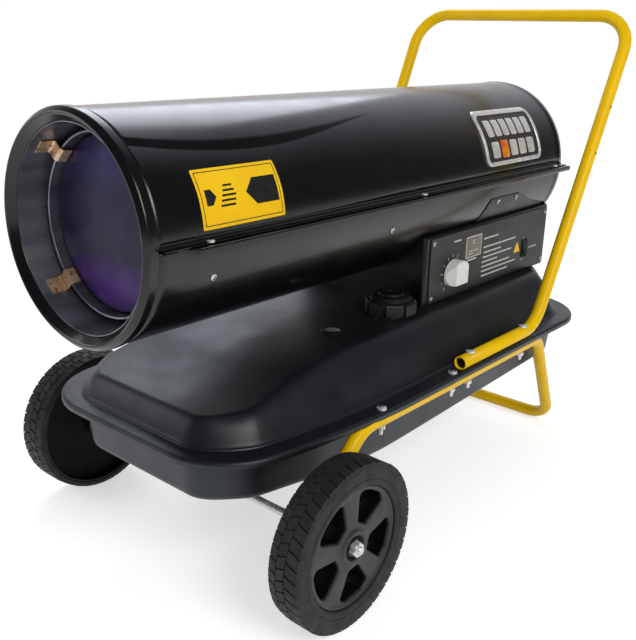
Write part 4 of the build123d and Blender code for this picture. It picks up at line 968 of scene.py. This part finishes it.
switch = {"behind": 771.5, "up": 309.0, "halfWidth": 8, "halfHeight": 14.5, "mark": 18,
          "bezel": ((0, 113.4), (0, 114.8), (0.2, 115.3), (0.7, 115.5), (2.0, 115.5), (2.6, 115.2), (2.8, 114.6),
                    (2.8, 104.0)),
          "key": ((107.5, -9), (118.4, -9.2), (115.7, 0), (114.7, 10.5), (107.5, 9)),
          "keyRounding": [0.5, 1.2, 6.0, 1.0, 0.5], "keyHalf": 4.8}


def makeControlPanel():
    shape = bmesh.new()
    addPlate(shape, panelOutline(), box["halfWidth"], panel["plate"])
    finishPiece(shape, "controlPanel", "panelFoil", "control_panel", edge=0.45)

    shape = bmesh.new()
    for start, end, up in rules["text"] + rules["labels"]:
        addRule(shape, start, end, up, rules["half"], 0.6, panelX, ink)
    for k in range(knob["ticks"]):
        a = math.radians(225 - 27 * k)
        out, across = Vector((math.cos(a), math.sin(a))), Vector((-math.sin(a), math.cos(a))) * 0.5
        middle = Vector((knob["behind"], knob["up"])) + out * knob["tickRadius"]
        reach = out * knob["tickReach"][k % 2]
        addPlate(shape, [middle - reach - across, middle + reach - across, middle + reach + across,
                         middle - reach + across], panelX, ink)
    finishPiece(shape, "panelPrint", "printWhite")


makeControlBox()
makeControlPanel()
print("control box ready")


def makePanelFittings():
    shape = bmesh.new()
    low, high = window["low"], window["high"]
    addPlate(shape, roundedOutline(low, high, 1.2, 3), panelX - 0.5, 0.9)
    finishPiece(shape, "displayWindow", "smokedWindow", "display_window", edge=0.25)

    shape = bmesh.new()
    loft(shape, [onPlane(roundedOutline(low, high, 1.0, 3, inset), panelX + lift) for inset, lift in window["frame"]])
    for start, end, up in window["marks"]:
        addRule(shape, start, end, up, 0.6, 0.3, panelX + 0.4, 0.06)
    behind, up = switch["behind"] - 3.5, switch["up"] + switch["mark"]     # generic on and off marks
    addRule(shape, behind - 0.5, behind + 0.5, up, 2.2, 0.3, panelX, ink)
    angles = [k * math.pi / 12 for k in range(24)]
    behind, up = switch["behind"] - 4.5, switch["up"] - switch["mark"]
    loft(shape, [[spot(panelX + lift, behind + radius * math.cos(a), up + radius * math.sin(a)) for a in angles]
                 for radius, lift in ((2.4, 0), (2.4, ink), (1.5, ink), (1.5, 0))])
    finishPiece(shape, "panelMarks", "printWhite")

    shape = bmesh.new()
    addPlate(shape, roundCorners(rules["caution"], 1.6, 4, closed=True), panelX, 0.12)
    finishPiece(shape, "panelCaution", "decalYellow")


def makeKnob():
    centre = spot(0, knob["behind"], knob["up"])
    shape = bmesh.new()
    turn(shape, knob["profile"], centre, (1, 0, 0), (0, 1, 0), 96)
    bmesh.ops.remove_doubles(shape, verts=shape.verts, dist=0.002)
    outX, outY = knob["barSlope"]
    cuts = [((knob["barAt"], side * knob["radius"], 0), (outX, side * outY, 0)) for side in (1, -1)]
    for place, normal in cuts + [((0, 0, knob["flatFoot"]), (0, 0, -1))]:
        cut = cutPlane(shape, centre + Vector(place), Vector(normal), clear=True)
        bmesh.ops.holes_fill(shape, edges=edgesOf(cut))
    finishPiece(shape, "thermostatKnob", "whiteAbs", "thermostat_knob", "thermostat_dial", edge=1.0,
                sharp=28, edgeAngle=20)


def makeSwitch():
    behind, up, wide, tall = (switch[name] for name in ("behind", "up", "halfWidth", "halfHeight"))
    shape = bmesh.new()
    low, high = (behind - wide, up - tall), (behind + wide, up + tall)
    loft(shape, [onPlane(roundedOutline(low, high, 1.8, 6, inset), x) for inset, x in switch["bezel"]],
         capStart=True, capEnd=True)
    finishPiece(shape, "switchBezel", "blackAbs", "power_switch")

    shape = bmesh.new()
    outline = roundCorners([(x, up + z) for x, z in switch["key"]], switch["keyRounding"], 5, closed=True)
    sides = [behind - switch["keyHalf"], behind + switch["keyHalf"]]
    loft(shape, [[spot(p.x, side, p.y) for p in outline] for side in sides], capStart=True, capEnd=True)
    finishPiece(shape, "rockerKey", "blackAbs", "switch_rocker", "rocker", edge=0.5)


louvre = {"starts": (560.0, 640.0, 720.0), "levels": (300.0, 310.0, 320.0, 330.0, 340.0), "length": 44.0,
          "height": 3.0}


def makeLeftCover():
    shape = bmesh.new()
    outlines = [panelOutline()]
    outlines += [roundedOutline((start, level), (start + louvre["length"], level + louvre["height"]), 1.3, 4)
                 for start in louvre["starts"] for level in louvre["levels"]]
    edges = [edge for outline in outlines for edge in addLine(shape, onPlane(outline, -panelX), closed=True)[1]]
    bmesh.ops.triangle_fill(shape, edges=edges, use_beauty=True, use_dissolve=False)
    finishPiece(shape, "leftCover", "panelFoil", "left_cover", wall=panel["plate"], edge=0.3,
                core=lambda p: Vector((0, p.y, p.z)))


strap = {"outline": ((620, 372), (638, 407), (722, 407), (742, 401), (772, 389), (822, 378), (834, 372)),
         "rounding": (0, 7, 7, 14, 14, 8, 0), "radius": 125.2, "sheet": 1.2}


def makeStraps():
    shape = bmesh.new()
    for side in (1, -1):
        one = bmesh.new()
        addFace(one, onPlane(roundCorners(strap["outline"], strap["rounding"], 5), 0))
        wrapOnBarrel(one, strap["radius"], side)
        stamp(shape, one, Matrix.Identity(4))
        one.free()
    finishPiece(shape, "saddleStraps", "boxEnamel", "saddle_straps", wall=strap["sheet"], edge=0.3,
                core=barrelCore)


makePanelFittings()
makeKnob()
makeSwitch()
makeLeftCover()
makeStraps()
print("control panel ready")


# Nameplate: frame and field as (inset, lift), blocks as (start, width, low, high).
plate = {"front": 613.0, "back": 777.0, "low": 456.0, "high": 531.0, "corner": 13.0,
         "frame": ((0, 0.1), (0, 1.9), (0.35, 2.6), (1.2, 2.95), (4.6, 2.95), (5.6, 2.6), (6.0, 1.4)),
         "field": ((5.8, 1.5), (8.0, 1.5)), "block": ((0, 1.4), (0, 2.1), (0.6, 2.5), (1.2, 2.55)),
         "bars": [(631.5 + 22 * k, 17.0, 496.5, 518.5) for k in range(6)]
         + [(633.0 + 26 * k, 20.0, 467.5, 489.5) for k in (0, 2, 3, 4)],
         "stud": [(659.0, 20.0, 466.5, 490.5)]}


def plateLoop(inset, lift):
    low, high = (plate["front"], plate["low"]), (plate["back"], plate["high"])
    return onPlane(roundedOutline(low, high, plate["corner"] - inset * 0.9, 8, inset), lift)


def makeNameplate():
    # frame and bars take the chrome finish with its painted sheen
    for name, skin, node, profile in (("nameplateFrame", "chromeWithPaintedSheen", "badge", "frame"),
                                      ("nameplateField", "plateField", "", "field")):
        shape = bmesh.new()
        loft(shape, [plateLoop(inset, lift) for inset, lift in plate[profile]], capEnd=profile == "field")
        wrapOnBarrel(shape, shellRadius)
        finishPiece(shape, name, skin, node, core=barrelCore, sharp=60)
    for name, skin, blocks in (("nameplateBars", "chromeWithPaintedSheen", "bars"), ("nameplateStud", "amberStud", "stud")):
        shape = bmesh.new()
        for start, width, low, high in plate[blocks]:
            loft(shape, [onPlane(roundedOutline((start, low), (start + width, high), 3.0 - inset, 6, inset), lift)
                         for inset, lift in plate["block"]], capEnd=True)
        wrapOnBarrel(shape, shellRadius)
        finishPiece(shape, name, skin, sharp=50)


# Heat label: heights run along the barrel's skin, above the seam. Shapes are flat (along, up) outlines.
label = {"front": 72.0, "low": 10.8, "width": 116.6, "height": 61.2, "lift": 0.3, "inkLift": 0.4,
         "frame": (3.2, 4.1), "shapes": [((64, 31), (77, 45), (110, 45), (110, 17), (77, 17)),
                                         ((9, 23), (9, 39), (17, 39), (23, 31), (17, 23))]
         + [((27 + 2 * k, 20 + 5 * k), (50 - 1.5 * abs(k - 2), 20 + 5 * k), (50 - 1.5 * abs(k - 2), 22.2 + 5 * k),
             (27 + 2 * k, 22.2 + 5 * k)) for k in range(5)]}


def ontoCasing(shape, lift):     # flat shape of (lift, behind, height along the skin) laid on the upper casing
    sliceLevels(shape, 1, 6.0)
    sliceLevels(shape, 2, 2.5)
    for corner in shape.verts:
        behind, angle = corner.co.y - lipY, math.degrees(corner.co.z / shellRadius)
        foot = alongKnots(dart["footEdge"], behind)
        u = 1 + (angle - foot + dart["fade"]) / dart["fade"]
        corner.co = aroundBarrel(casingRadius(behind) - dartDepth(behind, u) + lift, behind, angle)


def makeLabel():
    def flat(outline):
        return [spot(0, label["front"] + p[0], label["low"] + p[1]) for p in outline]
    size = (label["width"], label["height"])
    shape = bmesh.new()
    addFace(shape, flat(roundedOutline((0, 0), size, 2.0, 4)))
    ontoCasing(shape, label["lift"])
    finishPiece(shape, "heatLabel", "decalYellow", core=barrelCore, sharp=80)

    shape = bmesh.new()
    loft(shape, [flat(roundedOutline((0, 0), size, 1.2, 2, inset)) for inset in label["frame"]])
    for outline in label["shapes"]:
        addFace(shape, flat(outline))
    ontoCasing(shape, label["inkLift"])
    finishPiece(shape, "heatLabelPrint", "printBlack", core=barrelCore, sharp=80)


makeNameplate()
makeLabel()
print("nameplate and label ready")


# Screws: places behind the lip, with the angle and radius on the barrel for those on its skin.
screws = {"seam": (74.0, 444.0, 815.0), "seamX": 131.0, "seamTop": 439.2, "seamLow": 436.6, "seamPin": 434.6,
          "skin": (((89.0, 396.0), -19.0, 123.9, 5), ((661.0, 716.0), -17.5, 125.1, 9))}
# Cart bolts: (across, behind, seat), and the levels of the nut and of the bolt's end.
bolts = {"places": ((187.0, 295.0, 204.4), (187.0, 454.0, 204.4), (188.0, 495.0, 223.3), (188.0, 644.5, 223.3)),
         "nutTop": 182.4, "end": 170.6}


def makeScrews():
    shape = bmesh.new()
    seamHead, skinHead, panelHead = crossHead(4.2, 2.6), crossHead(3.8, 2.2), crossHead(3.2, 1.9)
    nut = hexBody(7, 3, 2)
    spin = [Matrix.Rotation(math.radians(23 + 37 * k), 4, "Z") for k in range(30)]
    for k, behind in enumerate(screws["seam"]):
        for x in (screws["seamX"], -screws["seamX"]):
            stamp(shape, seamHead, facing(spot(x, behind, screws["seamTop"]), (0, 0, 1)) @ spin[k])
            stamp(shape, nut, facing(spot(x, behind, screws["seamLow"]), (0, 0, -1)) @ spin[k + 3])
            pin(shape, spot(x, behind, screws["seamPin"]), (0, 0, -1), 1.9, 3.1)
    for places, angle, radius, first in screws["skin"]:
        for k, behind in enumerate(places):
            for degrees in (angle, 180 - angle):
                seat = facing(aroundBarrel(radius, behind, degrees), outward(degrees))
                stamp(shape, skinHead, seat @ spin[first + k])
    for k, (behind, up) in enumerate(panel["screws"]):
        for side in (1, -1):
            stamp(shape, panelHead, facing(spot(side * panelX, behind, up), (side, 0, 0)) @ spin[12 + k])
    for head in (seamHead, skinHead, panelHead, nut):
        head.free()
    finishPiece(shape, "casingScrews", "zincWithPaintedSheen", "casing_screws", sharp=35)


def makeCartBolts():
    shape = bmesh.new()
    head, nut = crossHead(6.3, 3.7), hexBody(10, 5, 3)
    for k, (across, behind, seat) in enumerate(bolts["places"]):
        for x in (across, -across):
            turnBy = Matrix.Rotation(math.radians(15 + 50 * k), 4, "Z")
            stamp(shape, head, facing(spot(x, behind, seat), (0, 0, 1)) @ turnBy)
            stamp(shape, nut, facing(spot(x, behind, bolts["nutTop"]), (0, 0, -1)) @ turnBy)
            pin(shape, spot(x, behind, seat), (0, 0, -1), 2.9, seat - bolts["end"], chamfer=0.6)
    head.free()
    nut.free()
    finishPiece(shape, "cartBolts", "zincWithPaintedSheen", "cart_bolts", sharp=35)


makeScrews()
makeCartBolts()
print("screws ready")


# Filler cap: heights above "low", the grip as (scale, height, depth of the notches), the rest as (radius, height).
cap = {"across": 92.0, "behind": 436.0, "low": 274.5, "apothem": 34.18, "notch": 33.0,
       "leans": (-22.5, -20.2, -17.6, -9.0, 0.0, 9.0, 17.6, 20.2), "skirt": ((28, 16), (28, 0)),
       "grip": ((0.985, 0, 1), (1.0, 0.8, 1), (1.0, 14.5, 1), (0.985, 16.6, 1), (0.955, 17.8, 1), (0.92, 18.3, 0.6)),
       "crown": ((30.2, 18.5), (29.0, 19.2), (26.6, 23.6), (25.6, 24.3), (18.6, 24.8), (18.0, 25.2), (17.4, 27.3),
                 (16.6, 27.9), (8.6, 28.0), (8.0, 27.6), (7.6, 26.9), (2.0, 26.8))}


def makeCap():
    def level(up, reachAt):
        places = []
        for k in range(8):
            for lean in cap["leans"]:
                a, reach = math.radians(45 * k + lean), reachAt(lean)
                places.append(spot(cap["across"] + reach * math.cos(a), cap["behind"] + reach * math.sin(a),
                                   cap["low"] + up))
        return places

    def gripLevel(scale, up, depth):
        def reachAt(lean):
            reach = cap["apothem"] / math.cos(math.radians(min(abs(lean), 17.6)))
            return scale * (reach + (cap["notch"] - reach) * depth if abs(lean) > 20 else reach)
        return level(up, reachAt)

    def roundLevel(radius, up):
        return level(up, lambda lean: radius)
    shape = bmesh.new()
    loft(shape, [roundLevel(*p) for p in cap["skirt"]] + [gripLevel(*p) for p in cap["grip"]]
         + [roundLevel(*p) for p in cap["crown"]], capStart=True, capEnd=True)
    finishPiece(shape, "fillerCap", "blackAbs", "fuel_cap", "filler_cap", sharp=32)


gauge = {"across": 80.0, "behind": 327.0,
         "bezel": ((0, 258.4), (12, 258.4), (12, 269.6), (15, 269.6), (15, 270.6), (14.5, 271.2), (13.8, 271.4),
                   (12.4, 271.4), (11.4, 271.3), (10.6, 270.9), (10.5, 270.0), (0, 270.0)),
         "face": ((0, 270.75), (10.4, 270.75), (10.4, 269.9)),
         "lens": ((0, 271.35), (6, 271.33), (9.6, 271.2), (10.4, 271.0), (10.4, 270.85), (0, 270.85)),
         "rods": (8.5, 259, 118), "stop": 139}


def makeGauge():
    centre = spot(gauge["across"], gauge["behind"], 0)
    shape = bmesh.new()
    turnUpright(shape, gauge["bezel"], centre, 64)
    apart, top, length = gauge["rods"]
    for x in (-apart, apart):
        pin(shape, centre + Vector((x, 0, top)), (0, 0, -1), 1.2, length, 10)
    pin(shape, centre + Vector((0, 0, gauge["stop"])), (0, 0, 1), 11, 2, 40)
    finishPiece(shape, "gaugeBezel", "blackAbs", "fuel_gauge", sharp=35)

    shape = bmesh.new()
    turnUpright(shape, gauge["face"], centre, 48)
    finishPiece(shape, "gaugeFace", "gaugeFace", core=lambda p: p - Vector((0, 0, 50)))
    shape = bmesh.new()
    turnUpright(shape, gauge["lens"], centre, 48)
    finishPiece(shape, "gaugeLens", "clearLens", "gauge_lens")


makeCap()
makeGauge()
print("cap and gauge ready")


# Cart: tube paths are the right half, as (across, behind, up).
tubes = {"radius": 9.49, "wall": 1.5,
         "frameTube": ((187, 168, 100), (187, 256, 191.9), (187, 698, 191.9), (166, 820, 9.5)),
         "handleTube": ((188, 470, 213.9), (188, 682, 213.9), (195.4, 897.5, 669)),
         "bends": {"frameTube": (50, 42, 42, 42, 42, 50), "handleTube": (50, 55, 55, 50)},
         "hooks": ((802.3, 468.0), (834.5, 536.0)), "hookOut": 8.6, "plugFrom": 484}
axle = {"behind": 168.0, "up": 100.0,
        "bar": ((0, -261), (4.2, -261), (5, -260.2), (5, 260.2), (4.2, 261), (0, 261)),
        "sleeve": ((5, 175), (8.6, 175), (9, 175.4), (9, 198.6), (8.6, 199), (8, 199), (8, 211.2), (7.6, 211.6),
                   (5, 211.6)),
        "washer": ((5, 248.4), (10.3, 248.4), (10.5, 248.6), (10.5, 249.7), (10.3, 249.9), (5, 249.9)),
        "nutAt": 249.9}
axleCentre = spot(0, axle["behind"], axle["up"])


def turnOnAxle(shape, profile, side=1, steps=96, closed=False):     # (radius, across)
    turn(shape, profile, axleCentre, (side, 0, 0), (0, 1, 0), steps, closed)


def makeTubes():
    for name, node in (("frameTube", "frame_tube"), ("handleTube", "handle_tube")):
        shape = bmesh.new()
        path = [spot(*p) for p in tubes[name]] + [spot(-x, d, z) for x, d, z in reversed(tubes[name])]
        bendTube(shape, path, tubes["bends"][name], tubes["radius"], 40, 14)
        finishPiece(shape, name, "yellowPowder", node, wall=tubes["wall"], sharp=50)
    shape = bmesh.new()
    (x0, d0, z0), (x1, d1, z1) = tubes["handleTube"][1:]
    for behind, up in tubes["hooks"]:
        x = x0 + (x1 - x0) * (up - z0) / (z1 - z0)
        pin(shape, spot(x + tubes["hookOut"], behind, up), (1, 0, 0), 2.2, 0.95, 24, 0.1)
    for side in (1, -1):
        pin(shape, spot(side * x0, tubes["plugFrom"], z0), (0, -1, 0), 8.0, 10, 32, 0.8)
    finishPiece(shape, "handlePlugs", "blackAbs", "handle_plugs")


def makeAxle():
    shape = bmesh.new()
    turnOnAxle(shape, axle["bar"], steps=32)
    finishPiece(shape, "axleBar", "zincWithPaintedSheen", "axle", sharp=35)
    shape = bmesh.new()
    nut = hexBody(16, 8, 5.1)
    for side in (1, -1):
        turnOnAxle(shape, axle["sleeve"], side, 40, closed=True)
        seat = facing(axleCentre + Vector((side * axle["nutAt"], 0, 0)), (side, 0, 0))
        stamp(shape, nut, seat @ Matrix.Rotation(math.radians(11), 4, "Z"))
    nut.free()
    finishPiece(shape, "axleFittings", "zincWithPaintedSheen", "axle_fittings", sharp=35)
    shape = bmesh.new()
    for side in (1, -1):
        turnOnAxle(shape, axle["washer"], side, 48, closed=True)
    finishPiece(shape, "hubWashers", "blackAbs", sharp=35)


makeTubes()
makeAxle()
print("cart ready")


# Wheels: profiles are (radius, across), and rows of tread are (middle, width, side whose edge is taken off).
# A window's edge and wall are (how far the outline grows, across).
wheel = {"face": 249.5, "blocks": 44, "block": (12.6, 3.4), "blockAt": 97.7,
         "rows": ((218.6, 11.2, -1), (230.6, 11.4, 0), (245.2, 16.4, 0)),
         "tyre": ((90.1, 227.8), (90.1, 214.0), (90.8, 212.6), (92.4, 212.2), (95.4, 212.7), (97.0, 214.0),
                  (97.7, 216.5), (97.8, 251.6), (97.3, 253.0), (96.0, 253.7), (91, 253.9), (82.4, 253.95),
                  (81.4, 253.3), (80.4, 253.3), (79.4, 253.95), (75.4, 253.9), (73.2, 253.0), (72.2, 250.6),
                  (72.2, 232.2)),
         "rim": ((66.8, 249.5), (67.8, 249.7), (69.2, 250.8), (70.0, 251.0), (71.4, 251.0), (71.95, 250.4),
                 (71.95, 232.2), (89.95, 227.9), (89.95, 214.0), (89.4, 213.1), (88.6, 213.1), (88.05, 213.9)),
         "dish": ((88.05, 213.9), (88.0, 222.5), (87.1, 224.6), (85.0, 225.5), (23.4, 225.5), (21.0, 224.9),
                  (20.0, 223.2), (19.9, 213.6)),
         "hub": ((19.9, 213.6), (19.8, 212.7), (19.1, 212.1), (5.1, 212.1), (5.1, 248.0), (13.6, 248.1),
                 (14.2, 248.5), (15.0, 251.5), (15.8, 252.0), (19.8, 252.0), (20.6, 251.6), (22.4, 249.8),
                 (24.0, 249.5)),
         "seat": ((5.2, 248.3), (13.9, 248.3), (13.9, 248.0), (5.2, 248.0)),
         "window": ((28, -8.5), (58, -25), (66, -14), (66, 14), (58, 25), (28, 8.5)), "windows": 5,
         "firstWindow": 58.5, "windowCorner": 5.0,
         "windowEdge": ((2.4, 249.5), (1.3, 249.3), (0.5, 248.6), (0.05, 247.3), (-0.1, 246.0)),
         "windowWall": ((-0.1, 246.0), (-0.4, 240.0), (-0.6, 229.4), (-1.6, 228.2))}


def makeTyre(side, name, node, body):
    shape = bmesh.new()
    turnOnAxle(shape, wheel["tyre"], side, 128, closed=True)
    length, depth = wheel["block"]
    for row, (middle, width, shoulder) in enumerate(wheel["rows"]):
        block = bmesh.new()
        bmesh.ops.create_cube(block, size=1.0, matrix=Matrix.Diagonal((width, length, depth, 1)))
        for corner in block.verts:
            corner.co.y += (0.3 if row == 1 else -0.3) * corner.co.x
            if corner.co.z > 0 and corner.co.x * shoulder > 0:
                corner.co.z -= 2.0
        bmesh.ops.bevel(block, geom=block.edges[:], offset=0.5, segments=1, profile=0.5, affect="EDGES", material=-1)
        for k in range(wheel["blocks"]):
            turnBy = Matrix.Rotation(2 * math.pi * (k + 0.5 * (row % 2)) / wheel["blocks"], 4, "X")
            stamp(shape, block, Matrix.Translation(axleCentre) @ Matrix.Diagonal((side, 1, 1, 1)) @ turnBy
                  @ Matrix.Translation((middle, 0, wheel["blockAt"])))
        block.free()
    finishPiece(shape, name, "tyreRubber", node, body, sharp=30)


def windowLoop(k, grow, x):     # one window's outline moved out by grow, turned round the axle
    angle = math.radians(wheel["firstWindow"] + 360 * k / wheel["windows"])
    corners = roundCorners(wheel["window"], wheel["windowCorner"], 5, closed=True)
    places = []
    for i, here in enumerate(corners):
        before, after = here - corners[i - 1], corners[(i + 1) % len(corners)] - here
        out = Vector((before.y, -before.x)).normalized() + Vector((after.y, -after.x)).normalized()
        p = here + out.normalized() * grow
        places.append(spot(x, axle["behind"] + p.x * math.cos(angle) - p.y * math.sin(angle),
                           axle["up"] + p.x * math.sin(angle) + p.y * math.cos(angle)))
    return places


def addWindows(shape, side, profile, capEnd=False):
    for k in range(wheel["windows"]):
        loft(shape, [windowLoop(k, grow, side * x) for grow, x in wheel[profile]], capEnd=capEnd)


def makeRim(side, name, node, body):
    shape = bmesh.new()
    for profile in ("rim", "hub"):
        turnOnAxle(shape, wheel[profile], side)
    addWindows(shape, side, "windowEdge")
    bmesh.ops.remove_doubles(shape, verts=shape.verts, dist=0.004)
    edges = [e for e in shape.edges
             if e.is_boundary and all(abs(abs(v.co.x) - wheel["face"]) < 0.01 for v in e.verts)]
    bmesh.ops.triangle_fill(shape, edges=edges, use_beauty=True, use_dissolve=False)
    finishPiece(shape, name, "wheelPlastic", node, body)
    # the seat, dish and window floors take the near-black finish as painted shade
    shape = bmesh.new()
    turnOnAxle(shape, wheel["seat"], side, 48, closed=True)
    turnOnAxle(shape, wheel["dish"], side)
    addWindows(shape, side, "windowWall", capEnd=True)
    finishPiece(shape, name + "Recess", "recessPaintedShade", body=body)


for side, word in ((1, "right"), (-1, "left")):
    makeTyre(side, "tyre" + word.title(), "tyre_" + word, "wheel_" + word)
    makeRim(side, "rim" + word.title(), "rim_" + word, "wheel_" + word)
print("wheels ready")


# Back end: the guard's band is (radius, behind).
guard = {"rings": (22, 40, 58, 76, 94, 110), "ringAt": 845, "wire": 1.6, "spokes": 8, "spokeFrom": 21,
         "spokeAt": 842.2, "spokeLength": 99.5,
         "band": ((119.9, 837), (122.7, 837), (122.7, 849.6), (122.3, 850), (120.3, 850), (119.9, 849.6))}
gland = {"across": 60, "behind": 845, "up": 300,
         "body": ((4, 837), (7.9, 837), (7.9, 851), (8.5, 851.6), (8.5, 859.5), (8.0, 861.0), (6.6, 862.4),
                  (5.4, 862.9), (4.4, 862.9), (4.0, 862.3))}
drain = {"behind": 345, "up": 121, "plugFrom": 120.5}
airCover = {"profile": ((0, 700), (40, 700), (40, 704.6), (39.3, 706.2), (36, 708.4), (34.8, 709), (0, 709)),
            "boltAt": 708.9}


def makeRearGuard():
    shape = bmesh.new()
    wire = [(guard["wire"] * math.cos(k * math.pi / 5), guard["wire"] * math.sin(k * math.pi / 5)) for k in range(10)]
    for radius in guard["rings"]:
        turnOnBarrel(shape, [(radius + a, guard["ringAt"] + b) for a, b in wire], 96, closed=True)
    turnOnBarrel(shape, guard["band"], 120, closed=True)
    for k in range(guard["spokes"]):
        degrees = 360 / guard["spokes"] * k
        pin(shape, aroundBarrel(guard["spokeFrom"], guard["spokeAt"], degrees), outward(degrees), guard["wire"],
            guard["spokeLength"], 10)
    finishPiece(shape, "rearGuard", "bakedEnamel", "rear_guard", sharp=50)


def makeBackFittings():
    shape = bmesh.new()
    across, behind, up = (gland[name] for name in ("across", "behind", "up"))
    stampHex(shape, spot(across, behind, up), (0, 1, 0), 20, 6)
    turn(shape, gland["body"], (across, lipY, up), (0, 1, 0), (1, 0, 0), 40, closed=True)
    finishPiece(shape, "cordGland", "blackAbs", "cable_gland", sharp=35)

    shape = bmesh.new()
    stampHex(shape, spot(0, drain["behind"], drain["up"]), (0, 0, -1), 17, 6)
    pin(shape, spot(0, drain["behind"], drain["plugFrom"]), (0, 0, 1), 7, 6.4, 32)
    finishPiece(shape, "drainPlug", "zincWithPaintedSheen", "drain_plug", sharp=35)

    shape = bmesh.new()
    turnOnBarrel(shape, airCover["profile"], 72)
    stampHex(shape, spot(0, airCover["boltAt"], barrelZ), (0, 1, 0), 12, 6)
    finishPiece(shape, "filterCover", "blackAbs", "filter_cover", sharp=35)


makeRearGuard()
makeBackFittings()
print("back end ready")


# Parts that keep their modelled shape and only get a finish.
carried = {"linerSteel": ("burner_head",), "brassBar": ("fuel_nozzle", "pickup_tube"), "copperLine": ("air_line",),
           "castAluminium": ("nozzle_adapter", "pump_housing", "pump_end_cover"), "greyNylon": ("fan",),
           "blackAbs": ("photocell", "fuel_line", "thermostat", "ignition_transformer", "gauge_float"),
           "groundSteel": ("motor_shaft", "motor_rotor", "pump_rotor"), "boxEnamel": ("motor_body",),
           "zincWithPaintedSheen": ("motor_mount", "filler_neck"), "filterFoam": ("air_filter", "fuel_filter"),
           "glazedCeramic": ("electrodes",), "boardGreen": ("control_board",), "whiteAbs": ("gauge_needle",)}
for skin, names in carried.items():
    for name in names:
        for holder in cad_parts[name].material_slots:
            holder.material = finish[skin]
